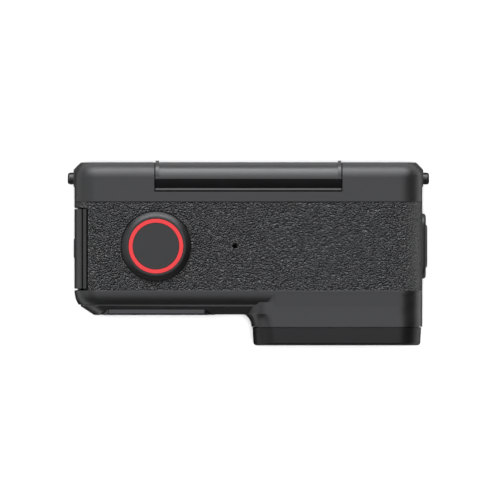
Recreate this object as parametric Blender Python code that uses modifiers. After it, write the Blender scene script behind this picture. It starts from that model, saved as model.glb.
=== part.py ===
"""Action camera with a flip-up rear screen, as an assembly of separate pieces.

The width runs along X, the lens looks along -Y, the screen faces +Y and Z is up.
The origin is under the middle of the camera, on the surface that it stands on.
"""
import math

import bmesh
import bpy
from mathutils import Matrix, Vector

MM = 0.001

# Body shell
BODY_WIDTH = 71.4 * MM
BODY_HEIGHT = 51.4 * MM
REAR_FACE = 18.6 * MM          # Y of the screen's face and of the shoulders beside the hinge
SEAM = -7.6 * MM               # Y where the front case meets the main case
SEAM_GAP = 0.2 * MM
WALL = 1.6 * MM
BASE_WALL = 3.0 * MM
TOP_EDGE_RADIUS = 4.7 * MM
BASE_EDGE_RADIUS = 3.2 * MM
FIT = 0.15 * MM                # between pieces that are fixed to each other
RUN = 0.3 * MM                 # between pieces that move past each other

# Flip-up screen and its hinge
BARREL_RADIUS = 3.4 * MM
BARREL_LENGTH = 38.1 * MM
BARREL_COLLAR_RISE = 0.36 * MM
BARREL_COLLAR_LENGTH = 0.7 * MM
BARREL_RIDGE = math.radians(133)                    # where the barrel's round ends at its groove
BARREL_GROOVE = ((-0.515, 0.691), (-0.47, 0.53))    # in barrel radii from the axis
POCKET_CLEARANCE = 0.9 * MM
HINGE_PIN_RADIUS = 0.8 * MM
HINGE_PIN_REACH = 3.3 * MM     # into the barrel and into each shoulder
SCREEN_OVERHANG = 0.2 * MM     # beyond each side of the body
SCREEN_DEPTH = 5.0 * MM
SCREEN_TOP_GAP = 0.5 * MM
SCREEN_FOOT = 1.6 * MM
SCREEN_CHAMFER = 1.5 * MM
SCREEN_BEZEL = 1.9 * MM
SCREEN_GLASS_THICKNESS = 0.6 * MM
SCREEN_LCD_THICKNESS = 1.8 * MM
SCREEN_COVER_THICKNESS = 0.6 * MM
TAB_RADIUS = 1.2 * MM
TAB_REACH = 1.5 * MM
TAB_HEIGHT = 9.0 * MM
TONGUE_LENGTH = 32.0 * MM
TONGUE_THICKNESS = 1.8 * MM
TONGUE_DEPTH = 1.7 * MM

# Front case, front panel and front display
CASE_FRONT = -10.6 * MM
CASE_FRONT_RADIUS = 5.5 * MM   # of the round that takes the top and the sides to the front face
CASE_FRONT_STEPS = 6
PANEL_FRONT = -12.75 * MM
PANEL_EDGE = 1.3 * MM          # from the body's sides to the panel's back edge
PANEL_SLOPE = 2.75 * MM        # how far the panel's side faces lean in
PANEL_TOP_EDGE = 1.2 * MM      # from the body's top to the panel's back edge
PANEL_TOP_SLOPE = 1.2 * MM
DISPLAY_GLASS_SIDE = 22.3 * MM
DISPLAY_GLASS_LEFT = 5.7 * MM  # from the body's left side
DISPLAY_GLASS_DROP = 1.8 * MM  # from the body's top
DISPLAY_GLASS_RADIUS = 1.75 * MM
DISPLAY_GLASS_THICKNESS = 1.3 * MM
DISPLAY_SIDE = 20.0 * MM
DISPLAY_THICKNESS = 1.8 * MM
FIN_GROOVES = 5
FIN_PITCH = 1.8 * MM
FIN_WIDTH = 0.7 * MM
FIN_DEPTH = 0.7 * MM

# Lens housing, lens and lens guard
HOUSING_WIDTH = 35.1 * MM
HOUSING_HEIGHT = 35.0 * MM
HOUSING_DROP = 0.2 * MM        # from the body's top
HOUSING_FRONT = -15.15 * MM
HOUSING_RADIUS = 5.0 * MM
HOUSING_FLARE_RADIUS = 3.0 * MM
HOUSING_FLARE_ANGLE = math.radians(65)   # the part of the fillet's quarter that is used
HOUSING_FLARE_STEPS = 5
LENS_HOLE_RADIUS = 12.9 * MM
BARREL_FRONT_RADIUS = 10.6 * MM
BARREL_FRONT = -14.6 * MM
BARREL_STEP = -4.0 * MM
BARREL_REAR = 0.5 * MM
LENS_REAR_RADIUS = 7.4 * MM
FRONT_ELEMENT_RADIUS = 7.5 * MM
FRONT_ELEMENT_SEAT = -9.3 * MM
REAR_GROUP_RADIUS = 4.0 * MM
SENSOR_WIDTH = 12.0 * MM
SENSOR_HEIGHT = 9.6 * MM
GUARD_DEPTH = 3.66 * MM
GUARD_WIDTH = 34.6 * MM
GUARD_FRONT_WIDTH = 34.2 * MM
GUARD_BORE_RADIUS = 11.4 * MM
GUARD_GLASS_RADIUS = 14.0 * MM
GUARD_GLASS_THICKNESS = 1.4 * MM
GUARD_GLASS_RECESS = 0.45 * MM
GUARD_TUBE_RADIUS = 12.6 * MM
GUARD_TUBE_REACH = 1.4 * MM

# Buttons on the top and on the right side
SHUTTER_LEFT = 16.75 * MM      # from the body's left side to the button's centre
SHUTTER_Y = 1.4 * MM
SHUTTER_RADIUS = 7.1 * MM
SHUTTER_TOP_RADIUS = 6.25 * MM
SHUTTER_FLANGE = 0.6 * MM      # keeps the cap from coming out of its hole
SHUTTER_PROUD = 0.8 * MM
SHUTTER_TRAVEL = 0.5 * MM
RING_OUTER_RADIUS = 5.6 * MM
RING_WIDTH = 0.8 * MM
RING_DEPTH = 0.4 * MM
POWER_Y = 1.4 * MM
POWER_DROP = 17.4 * MM         # from the body's top
POWER_BEZEL_LENGTH = 13.4 * MM
POWER_BEZEL_HEIGHT = 5.2 * MM
POWER_BEZEL_PROUD = 0.8 * MM
POWER_CAP_LENGTH = 9.0 * MM
POWER_CAP_HEIGHT = 3.0 * MM
POWER_CAP_PROUD = 1.1 * MM
POWER_TRAVEL = 0.4 * MM
MIC_X = -2.8 * MM
MIC_Y = 1.45 * MM
MIC_RADIUS = 0.55 * MM

# Side door over the battery and the ports
DOOR_FRONT = -7.3 * MM
DOOR_REAR = 9.0 * MM
DOOR_THICKNESS = 1.7 * MM
DOOR_GAP = 0.25 * MM
DOOR_FOOT = 2.6 * MM
DOOR_TOP_INSET = 2.45 * MM     # how far the door's top end reaches over the rounded edge
DOOR_PIN_RADIUS = 0.5 * MM
KNUCKLE_RADIUS = 1.25 * MM
KNUCKLE_INSET = 0.95 * MM      # from the body's side to the door's pin
LATCH_LENGTH = 8.0 * MM
LATCH_WIDTH = 3.9 * MM
LATCH_Y = 0.95 * MM
LATCH_TOP_DROP = 7.4 * MM
LATCH_TRAVEL = 3.0 * MM
LATCH_PROUD = 0.17 * MM
LATCH_SEAT = 0.65 * MM         # below the door's face
LATCH_RIBS = 4
BAY_FRAME = 4.9 * MM           # from the body's side to the inner end of the bay's mouth
BAY_MARGIN = 1.65 * MM         # from the door's edges to the bay's mouth

# Battery, ports, boards and speaker
BATTERY_THICKNESS = 12.4 * MM
PORT_BOARD_DROP = 9.2 * MM
PORT_BOARD_THICKNESS = 0.7 * MM
USB_WIDTH = 8.94 * MM
USB_HEIGHT = 3.26 * MM
CARD_LENGTH = 15.0 * MM
CARD_WIDTH = 11.0 * MM
CARD_THICKNESS = 0.7 * MM
BOARD_THICKNESS = 1.0 * MM
BOARD_Y = 6.0 * MM
SPEAKER_SLOTS = 3

# Base plate with the mount's magnets, and the screws
BASE_PLATE_WIDTH = 30.0 * MM
BASE_PLATE_DEPTH = 13.0 * MM
BASE_PLATE_THICKNESS = 1.0 * MM
BASE_PLATE_Y = 1.0 * MM
CLAW_WIDTH = 3.0 * MM
CLAW_DEPTH = 5.0 * MM
MAGNET_RADIUS = 2.6 * MM
MAGNET_THICKNESS = 1.2 * MM
SCREW_HEAD_RADIUS = 1.5 * MM
SCREW_HEAD_HEIGHT = 0.7 * MM
SCREW_RADIUS = 0.75 * MM

# Values that follow from the sizes above
LEFT = -BODY_WIDTH / 2
RIGHT = BODY_WIDTH / 2
POCKET_RADIUS = BARREL_RADIUS + POCKET_CLEARANCE
HINGE_Y = REAR_FACE - BARREL_RADIUS
HINGE_Z = BODY_HEIGHT - BARREL_RADIUS
HINGE_END = BARREL_LENGTH / 2
SCREEN_HALF = RIGHT + SCREEN_OVERHANG
SCREEN_FRONT = REAR_FACE - SCREEN_DEPTH
SCREEN_TOP = HINGE_Z - BARREL_RADIUS - SCREEN_TOP_GAP
REAR_WALL = SCREEN_FRONT - RUN
POCKET_ANGLE = math.acos(BARREL_RADIUS / POCKET_RADIUS)
CAVITY_TOP = BODY_HEIGHT - WALL
CAVITY_REAR = REAR_WALL - WALL
CAVITY_UPPER_REAR = HINGE_Y - POCKET_RADIUS - 1.3 * MM
CAVITY_STEP_Z = HINGE_Z - POCKET_RADIUS - 1.2 * MM
HOUSING_LEFT = RIGHT - HOUSING_WIDTH
HOUSING_TOP = BODY_HEIGHT - HOUSING_DROP
HOUSING_FOOT = HOUSING_TOP - HOUSING_HEIGHT
HOUSING_FLARE = HOUSING_FLARE_RADIUS * (1 - math.cos(HOUSING_FLARE_ANGLE))
LENS_X = RIGHT - HOUSING_WIDTH / 2
LENS_Z = HOUSING_TOP - HOUSING_HEIGHT / 2
GUARD_REAR = HOUSING_FRONT - FIT
GUARD_FRONT = GUARD_REAR - GUARD_DEPTH
SHUTTER_X = LEFT + SHUTTER_LEFT
POWER_Z = BODY_HEIGHT - POWER_DROP
DOOR_ARC_X = LEFT + TOP_EDGE_RADIUS
DOOR_ARC_Z = BODY_HEIGHT - TOP_EDGE_RADIUS
DOOR_END_ANGLE = math.pi - math.acos((TOP_EDGE_RADIUS - DOOR_TOP_INSET) / TOP_EDGE_RADIUS)
DOOR_AXIS_X = LEFT + KNUCKLE_INSET
DOOR_AXIS_Z = DOOR_FOOT + 1.0 * MM
BAY_LEFT = LEFT + BAY_FRAME
BAY_FRONT = DOOR_FRONT + BAY_MARGIN
BAY_REAR = DOOR_REAR - BAY_MARGIN + DOOR_GAP
BAY_FOOT = BASE_WALL + 1.2 * MM
BAY_TOP = BODY_HEIGHT - 3.9 * MM
DISPLAY_X = LEFT + DISPLAY_GLASS_LEFT + DISPLAY_GLASS_SIDE / 2
DISPLAY_Z = BODY_HEIGHT - DISPLAY_GLASS_DROP - DISPLAY_GLASS_SIDE / 2
PORT_BOARD_Z = BODY_HEIGHT - PORT_BOARD_DROP
PORT_Y = (BAY_FRONT + BAY_REAR) / 2

for old in list(bpy.data.objects):
    bpy.data.objects.remove(old, do_unlink=True)

parts = bpy.data.collections.new("action_camera")
cutters = bpy.data.collections.new("action_camera_cutters")
bpy.context.scene.collection.children.link(parts)
bpy.context.scene.collection.children.link(cutters)


def finish(name, colour, roughness, metallic=0.0):
    """A Principled material with one colour."""
    made = bpy.data.materials.new(name)
    made.use_nodes = True
    shader = made.node_tree.nodes["Principled BSDF"]
    shader.inputs["Base Color"].default_value = (*colour, 1.0)
    shader.inputs["Roughness"].default_value = roughness
    shader.inputs["Metallic"].default_value = metallic
    return made


def keep_mesh(name, bm, surface):
    """Link a bmesh as a part with its material, or as a hidden cutter without one."""
    mesh = bpy.data.meshes.new(name)
    bm.to_mesh(mesh)
    bm.free()
    return keep_object(bpy.data.objects.new(name, mesh), surface)


def keep_object(made, surface):
    if surface is None:
        cutters.objects.link(made)
        made.hide_render = True
        made.display_type = "WIRE"
    else:
        parts.objects.link(made)
        made.data.materials.append(surface)
    return made


def edges_along(bm, axis, keep=lambda middle: True):
    """The straight edges that run along an axis, where keep accepts their middle."""
    index = "XYZ".index(axis)
    picked = []
    for edge in bm.edges:
        run = edge.verts[1].co - edge.verts[0].co
        middle = (edge.verts[0].co + edge.verts[1].co) / 2
        if abs(run[index]) > 0.999 * run.length and keep(middle):
            picked.append(edge)
    return picked


def edges_on(bm, axis, place):
    """The edges that lie in a plane across an axis."""
    index = "XYZ".index(axis)
    return [edge for edge in bm.edges
            if all(abs(vert.co[index] - place) < 0.001 * MM for vert in edge.verts)]


def bevel(bm, edges, radius, segments):
    bmesh.ops.bevel(bm, geom=edges, offset=radius, offset_type="OFFSET", segments=segments,
                    profile=0.5, affect="EDGES", clamp_overlap=True)


def box_bmesh(low, high):
    bm = bmesh.new()
    bmesh.ops.create_cube(bm, size=1.0)
    low, high = Vector(low), Vector(high)
    for vert in bm.verts:
        for i in range(3):
            vert.co[i] = high[i] if vert.co[i] > 0 else low[i]
    return bm


def block(name, low, high, surface=None, axis="Y", radius=0.0, segments=4):
    """A box between two corners, its edges along one axis rounded."""
    bm = box_bmesh(low, high)
    if radius:
        bevel(bm, edges_along(bm, axis), radius, segments)
    return keep_mesh(name, bm, surface)


def blocks(name, corners):
    """Several separate boxes as one cutter."""
    bm = bmesh.new()
    for low, high in corners:
        piece = box_bmesh(low, high)
        mesh = bpy.data.meshes.new("box")
        piece.to_mesh(mesh)
        piece.free()
        bm.from_mesh(mesh)
        bpy.data.meshes.remove(mesh)
    return keep_mesh(name, bm, None)


def extruded(name, outline, axis, start, end, surface=None, rounded=None):
    """A flat outline in the two other axes, filled and drawn out from start to end.

    rounded is (axis, test, radius, segments) for edges that are rounded afterwards.
    """
    curve = bpy.data.curves.new(name, "CURVE")
    curve.dimensions = "2D"
    curve.fill_mode = "BOTH"
    curve.extrude = (end - start) / 2
    spline = curve.splines.new("POLY")
    spline.points.add(len(outline) - 1)
    for point, (u, v) in zip(spline.points, outline):
        point.co = (u, v, 0.0, 1.0)
    spline.use_cyclic_u = True
    drawn = bpy.data.objects.new(name + "_outline", curve)
    bpy.context.scene.collection.objects.link(drawn)
    depsgraph = bpy.context.evaluated_depsgraph_get()
    mesh = bpy.data.meshes.new_from_object(drawn.evaluated_get(depsgraph))
    bpy.data.objects.remove(drawn, do_unlink=True)
    turn = {
        "X": Matrix(((0, 0, 1), (1, 0, 0), (0, 1, 0))),
        "Y": Matrix(((1, 0, 0), (0, 0, -1), (0, 1, 0))),
        "Z": Matrix.Identity(3),
    }[axis]
    middle = Vector((0.0, 0.0, 0.0))
    middle["XYZ".index(axis)] = (start + end) / 2
    bm = bmesh.new()
    bm.from_mesh(mesh)
    bpy.data.meshes.remove(mesh)
    bmesh.ops.remove_doubles(bm, verts=bm.verts, dist=0.001 * MM)
    bmesh.ops.transform(bm, matrix=Matrix.Translation(middle) @ turn.to_4x4(), verts=bm.verts)
    bmesh.ops.recalc_face_normals(bm, faces=bm.faces)
    if rounded:
        edge_axis, keep, radius, segments = rounded
        bevel(bm, edges_along(bm, edge_axis, keep), radius, segments)
    return keep_mesh(name, bm, surface)


def turned(name, profile, centre, facing, surface=None, steps=32):
    """A (radius, height) profile turned about an axis that points along facing.

    The profile runs from the top down its outer side; off the axis it closes on itself.
    """
    mesh = bpy.data.meshes.new(name)
    count = len(profile)
    edges = [(i, i + 1) for i in range(count - 1)]
    if profile[0][0] > 0:
        edges.append((count - 1, 0))
    mesh.from_pydata([(radius, 0.0, height) for radius, height in profile], edges, [])
    made = bpy.data.objects.new(name, mesh)
    turn = Vector((0, 0, 1)).rotation_difference(Vector(facing)).to_matrix().to_4x4()
    made.matrix_world = Matrix.Translation(Vector(centre)) @ turn
    screw = made.modifiers.new("turn", "SCREW")
    screw.axis = "Z"
    screw.angle = math.tau
    screw.steps = steps
    screw.render_steps = steps
    screw.use_merge_vertices = True
    screw.merge_threshold = 0.001 * MM
    return keep_object(made, surface)


def disc(name, radius, low, high, centre, facing, surface=None, steps=32):
    """A plain cylinder between two heights along facing."""
    profile = [(0.0, high), (radius, high), (radius, low), (0.0, low)]
    return turned(name, profile, centre, facing, surface, steps)


def rounded_outline(x_low, x_high, z_low, z_high, radii, segments):
    """A rectangle's outline in X and Z with a radius at each corner, from the top right, turning left."""
    corners = [(x_high, z_high, -1, -1), (x_low, z_high, 1, -1), (x_low, z_low, 1, 1),
               (x_high, z_low, -1, 1)]
    outline = []
    for i, ((x, z, side, rise), radius) in enumerate(zip(corners, radii)):
        start = i * math.pi / 2
        outline += arc((x + side * radius, z + rise * radius), radius, start, start + math.pi / 2,
                       segments)
    return outline


def lofted(name, rings, surface=None):
    """A closed skin over rings of equal counts of points, with a flat face on each end."""
    bm = bmesh.new()
    loops = [[bm.verts.new(point) for point in ring] for ring in rings]
    count = len(loops[0])
    for near, far in zip(loops, loops[1:]):
        for i in range(count):
            bm.faces.new((near[i], near[(i + 1) % count], far[(i + 1) % count], far[i]))
    bm.faces.new(loops[0])
    bm.faces.new(loops[-1])
    bmesh.ops.recalc_face_normals(bm, faces=bm.faces)
    return keep_mesh(name, bm, surface)


def boolean(target, operation, *tools):
    for tool in tools:
        modifier = target.modifiers.new(tool.name, "BOOLEAN")
        modifier.operation = operation
        modifier.solver = "EXACT"
        modifier.object = tool


def cut(target, *tools):
    boolean(target, "DIFFERENCE", *tools)


def join(target, *tools):
    boolean(target, "UNION", *tools)


def arc(centre, radius, start, end, count):
    """Points along an arc, ends included; the angles are in radians from the first axis."""
    return [(centre[0] + radius * math.cos(start + (end - start) * i / count),
             centre[1] + radius * math.sin(start + (end - start) * i / count))
            for i in range(count + 1)]


def carry(place, name, pieces, parent=None):
    """An empty on a joint's axis that carries the pieces which move about it."""
    holder = bpy.data.objects.new(name, None)
    parts.objects.link(holder)
    holder.location = place
    bpy.context.view_layer.update()
    if parent:
        holder.parent = parent
        holder.matrix_parent_inverse = parent.matrix_world.inverted()
        bpy.context.view_layer.update()
    for piece in pieces:
        piece.parent = holder
        piece.matrix_parent_inverse = holder.matrix_world.inverted()
    return holder


BLACK_PLASTIC = finish("black_plastic", (0.035, 0.035, 0.038), 0.5)
GRAINED_PLASTIC = finish("grained_plastic", (0.03, 0.03, 0.032), 0.7)
GLOSS_BLACK = finish("gloss_black", (0.01, 0.01, 0.012), 0.12)
LENS_GLASS = finish("lens_glass", (0.05, 0.06, 0.08), 0.05)
RED_PLASTIC = finish("red_plastic", (0.9, 0.05, 0.06), 0.4)
RUBBER = finish("black_rubber", (0.02, 0.02, 0.02), 0.8)
ALUMINIUM = finish("aluminium", (0.6, 0.6, 0.62), 0.35, 1.0)
STEEL = finish("steel", (0.55, 0.55, 0.57), 0.3, 1.0)
BOARD_GREEN = finish("circuit_board", (0.02, 0.12, 0.06), 0.5)
BATTERY_GREY = finish("battery_wrap", (0.12, 0.12, 0.13), 0.5)


def rear_screw_places():
    side = RIGHT - 4.2 * MM
    return [(x, z) for x in (-side, side) for z in (BASE_WALL + 3.5 * MM, CAVITY_STEP_Z - 3.0 * MM)]


def base_screw_places():
    across = BASE_PLATE_WIDTH / 2 - 2.3 * MM
    along = BASE_PLATE_DEPTH / 2 - 2.0 * MM
    return [(x, BASE_PLATE_Y + y) for x in (-across, across) for y in (-along, along)]


def door_profile(outer, inner, end_angle, foot):
    """The door's section: straight up the side, then round with the body's top edge."""
    centre = (DOOR_ARC_X, DOOR_ARC_Z)
    return ([(DOOR_ARC_X - outer, foot)] + arc(centre, outer, math.pi, end_angle, 5)
            + arc(centre, inner, end_angle, math.pi, 5) + [(DOOR_ARC_X - inner, foot)])


def main_case():
    """The grained body shell: open to the front, with the hinge's shoulders at the back."""
    bm = box_bmesh((LEFT, SEAM + SEAM_GAP / 2, 0.0), (RIGHT, REAR_FACE, BODY_HEIGHT))
    half = BODY_HEIGHT / 2
    bevel(bm, edges_along(bm, "Y", lambda m: m.z > half), TOP_EDGE_RADIUS, 6)
    bevel(bm, edges_along(bm, "Y", lambda m: m.z < half and abs(m.x) > RIGHT - 0.01 * MM),
          BASE_EDGE_RADIUS, 4)
    bevel(bm, edges_on(bm, "Y", REAR_FACE), BARREL_RADIUS - 0.01 * MM, 5)
    case = keep_mesh("main_case", bm, GRAINED_PLASTIC)

    beyond = 10 * MM
    axis = (HINGE_Y, HINGE_Z)
    under = HINGE_Z - BARREL_RADIUS
    screen_room = ([(REAR_WALL, -beyond), (REAR_WALL, under)]
                   + arc(axis, BARREL_RADIUS, -math.pi / 2, 0.0, 6)
                   + [(REAR_FACE + beyond, HINGE_Z), (REAR_FACE + beyond, -beyond)])
    cut(case, extruded("cut_screen_room", screen_room, "X", LEFT - beyond, RIGHT + beyond))

    lip = math.pi / 2 + POCKET_ANGLE
    low = math.pi + math.acos((HINGE_Y - REAR_WALL) / POCKET_RADIUS)
    pocket = ([(HINGE_Y + POCKET_RADIUS * math.cos(lip), BODY_HEIGHT + beyond)]
              + arc(axis, POCKET_RADIUS, lip, low, 9)
              + [(REAR_FACE + beyond, HINGE_Z + POCKET_RADIUS * math.sin(low)),
                 (REAR_FACE + beyond, BODY_HEIGHT + beyond)])
    pocket_half = HINGE_END + 0.2 * MM
    cut(case, extruded("cut_hinge_pocket", pocket, "X", -pocket_half, pocket_half))

    cavity = [(SEAM - beyond, BASE_WALL), (CAVITY_REAR, BASE_WALL), (CAVITY_REAR, CAVITY_STEP_Z),
              (CAVITY_UPPER_REAR, CAVITY_STEP_Z), (CAVITY_UPPER_REAR, CAVITY_TOP),
              (SEAM - beyond, CAVITY_TOP)]
    corner = (lambda m: m.x > 0 and m.z > CAVITY_STEP_Z + 1 * MM)
    cut(case, extruded("cut_cavity", cavity, "X", BAY_LEFT, RIGHT - WALL,
                       rounded=("Y", corner, TOP_EDGE_RADIUS - WALL, 4)))

    end_gap = DOOR_GAP / (TOP_EDGE_RADIUS - DOOR_THICKNESS)
    rebate = door_profile(TOP_EDGE_RADIUS + beyond, TOP_EDGE_RADIUS - DOOR_THICKNESS - DOOR_GAP,
                          DOOR_END_ANGLE - end_gap, DOOR_FOOT - RUN)
    cut(case, extruded("cut_door_rebate", rebate, "Y", SEAM - beyond, DOOR_REAR + DOOR_GAP))
    cut(case, disc("cut_door_knuckle", KNUCKLE_RADIUS + 0.45 * MM, SEAM - beyond,
                   DOOR_REAR + DOOR_GAP, (DOOR_AXIS_X, 0, DOOR_AXIS_Z), (0, 1, 0), steps=20))
    cut(case, block("cut_bay_mouth", (LEFT - beyond, BAY_FRONT, BAY_FOOT),
                    (BAY_LEFT + 1 * MM, BAY_REAR, BAY_TOP), axis="X", radius=1.2 * MM, segments=3))
    cut(case, disc("cut_door_pin", DOOR_PIN_RADIUS + FIT, SEAM - beyond, DOOR_REAR + 2.0 * MM,
                   (DOOR_AXIS_X, 0, DOOR_AXIS_Z), (0, 1, 0), steps=12))

    cut(case, disc("cut_shutter", SHUTTER_RADIUS + 0.2 * MM, CAVITY_TOP - 1 * MM,
                   BODY_HEIGHT + beyond, (SHUTTER_X, SHUTTER_Y, 0), (0, 0, 1), steps=40))
    cut(case, disc("cut_shutter_flange", SHUTTER_RADIUS + SHUTTER_FLANGE + 0.2 * MM,
                   CAVITY_TOP - 3 * MM, CAVITY_TOP - 0.1 * MM, (SHUTTER_X, SHUTTER_Y, 0),
                   (0, 0, 1), steps=40))
    cut(case, disc("cut_top_mic", MIC_RADIUS, CAVITY_TOP - 1 * MM, BODY_HEIGHT + beyond,
                   (MIC_X, MIC_Y, 0), (0, 0, 1), steps=16))
    power_half = POWER_BEZEL_LENGTH / 2 + FIT
    power_rise = POWER_BEZEL_HEIGHT / 2 + FIT
    cut(case, block("cut_power", (RIGHT - WALL - 1 * MM, POWER_Y - power_half, POWER_Z - power_rise),
                    (RIGHT + beyond, POWER_Y + power_half, POWER_Z + power_rise),
                    axis="X", radius=power_rise * 0.999, segments=5))
    slots = []
    for i in range(SPEAKER_SLOTS):
        z = BASE_WALL + 8.0 * MM + i * 2.4 * MM
        slots.append(((RIGHT - WALL - 1 * MM, -1.6 * MM, z), (RIGHT + beyond, 4.4 * MM, z + 0.9 * MM)))
    cut(case, blocks("cut_speaker_slots", slots))
    for side, x in (("left", -1), ("right", 1)):
        cut(case, disc("cut_hinge_pin_" + side, HINGE_PIN_RADIUS + FIT, -beyond,
                       HINGE_PIN_REACH + RUN, (x * (HINGE_END + 0.2 * MM), HINGE_Y, HINGE_Z),
                       (x, 0, 0), steps=16))

    plate_x = BASE_PLATE_WIDTH / 2 + FIT
    plate_y = BASE_PLATE_DEPTH / 2 + FIT
    cut(case, block("cut_base_plate", (-plate_x, BASE_PLATE_Y - plate_y, -beyond),
                    (plate_x, BASE_PLATE_Y + plate_y, BASE_PLATE_THICKNESS + FIT),
                    axis="Z", radius=2.0 * MM + FIT))
    for name, x in (("left", -magnet_offset()), ("right", magnet_offset())):
        cut(case, disc("cut_magnet_" + name, MAGNET_RADIUS + FIT, 0.0,
                       BASE_PLATE_THICKNESS + MAGNET_THICKNESS + 3 * FIT,
                       (x, BASE_PLATE_Y, 0), (0, 0, 1), steps=20))
    for i, (x, z) in enumerate(rear_screw_places()):
        cut(case, screw_shape("cut_rear_screw_%d" % (i + 1), (x, REAR_WALL, z), (0, 1, 0),
                              WALL + 1 * MM, None, FIT))
    for i, (x, y) in enumerate(base_screw_places()):
        cut(case, disc("cut_base_screw_%d" % (i + 1), SCREW_RADIUS + FIT, -beyond,
                       BASE_WALL - 0.25 * MM, (x, y, 0), (0, 0, 1), steps=10))
    return case


def magnet_offset():
    return MAGNET_RADIUS + 2.6 * MM


def screw_shape(name, face, facing, length, surface, slack=0.0):
    """A pan head and its shank; face is the outer surface and facing points out of it."""
    top = beyond_face(slack)
    head = SCREW_HEAD_RADIUS + slack
    seat = -(SCREW_HEAD_HEIGHT + FIT + slack)
    if slack:
        profile = [(0, top), (head, top), (head, seat), (SCREW_RADIUS + slack, seat),
                   (SCREW_RADIUS + slack, -length - slack), (0, -length - slack)]
    else:
        profile = [(0, -0.55 * MM), (0.5 * MM, -0.3 * MM), (0.55 * MM, -0.1 * MM),
                   (head - 0.3 * MM, -0.1 * MM), (head, -0.35 * MM), (head, seat),
                   (SCREW_RADIUS, seat), (SCREW_RADIUS, -length), (0, -length)]
    return turned(name, profile, face, facing, surface, steps=12)


def beyond_face(slack):
    """A hole's cutter stands out of the surface; a screw stays under it."""
    return 5 * MM if slack else -0.1 * MM


def case_inset(forward):
    """How far the front case has rounded in, at a distance forward of its seam."""
    return CASE_FRONT_RADIUS - math.sqrt(CASE_FRONT_RADIUS ** 2 - forward ** 2)


def front_case():
    """The smooth front shell with the square lens housing."""
    rear = SEAM - SEAM_GAP / 2
    rings = []
    for i in range(CASE_FRONT_STEPS + 1):
        forward = (rear - CASE_FRONT) * i / CASE_FRONT_STEPS
        inset = case_inset(forward)
        radii = [TOP_EDGE_RADIUS - inset] * 2 + [BASE_EDGE_RADIUS - inset] * 2
        outline = rounded_outline(LEFT + inset, RIGHT - inset, inset, BODY_HEIGHT - inset, radii, 6)
        rings.append([(x, rear - forward, z) for x, z in outline])
    case = lofted("front_case", rings, BLACK_PLASTIC)

    join(case, lens_housing())

    beyond = 10 * MM
    rear = SEAM + beyond
    cut(case, block("cut_front_cavity", (LEFT + WALL + RUN, CASE_FRONT + WALL - 0.1 * MM, BASE_WALL),
                    (RIGHT - WALL, rear, CAVITY_TOP), radius=TOP_EDGE_RADIUS - WALL))
    cut(case, block("cut_housing_cavity",
                    (HOUSING_LEFT + 1.8 * MM, HOUSING_FRONT + WALL, HOUSING_FOOT + 1.8 * MM),
                    (RIGHT - 1.8 * MM, rear, CAVITY_TOP - 0.2 * MM), radius=3.2 * MM))
    cut(case, disc("cut_lens_hole", LENS_HOLE_RADIUS, -HOUSING_FRONT - 4 * MM,
                   -HOUSING_FRONT + beyond, (LENS_X, 0, LENS_Z), (0, -1, 0), steps=40))
    side = DISPLAY_SIDE / 2 + FIT
    cut(case, block("cut_display_window", (DISPLAY_X - side, CASE_FRONT - beyond, DISPLAY_Z - side),
                    (DISPLAY_X + side, rear, DISPLAY_Z + side), radius=0.5 * MM, segments=2))
    cut(case, disc("cut_front_door_pin", DOOR_PIN_RADIUS + FIT, SEAM - 1.2 * MM, SEAM + beyond,
                   (DOOR_AXIS_X, 0, DOOR_AXIS_Z), (0, 1, 0), steps=12))
    return case


def housing_outline(flare, segments, slack=0.0, above=0.0):
    """The housing's outline, grown by a flare from its top right corner, and by a slack."""
    corner = HOUSING_RADIUS * (1 + flare / HOUSING_WIDTH) + slack
    return rounded_outline(HOUSING_LEFT - flare - slack, RIGHT + above, HOUSING_FOOT - flare - slack,
                           HOUSING_TOP + above, [corner] * 4, segments)


def lens_housing():
    """The square housing, with a hollow fillet where it rises from the front of the case."""
    rings = []
    for i in range(HOUSING_FLARE_STEPS + 1):
        angle = HOUSING_FLARE_ANGLE * i / HOUSING_FLARE_STEPS
        flare = HOUSING_FLARE_RADIUS * (1 - math.cos(angle))
        y = HOUSING_FRONT + HOUSING_FLARE_RADIUS * math.sin(angle)
        rings.append([(x, y, z) for x, z in housing_outline(flare, 6)])
    rear = SEAM - SEAM_GAP / 2 - 0.05 * MM
    rings.append([(x, CASE_FRONT + 0.5 * MM, z) for x, z in housing_outline(HOUSING_FLARE, 6)])
    rings.append([(x, CASE_FRONT + 0.6 * MM, z) for x, z in housing_outline(0.0, 6)])
    rings.append([(x, rear, z) for x, z in housing_outline(0.0, 6)])
    return lofted("join_lens_housing", rings)


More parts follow.
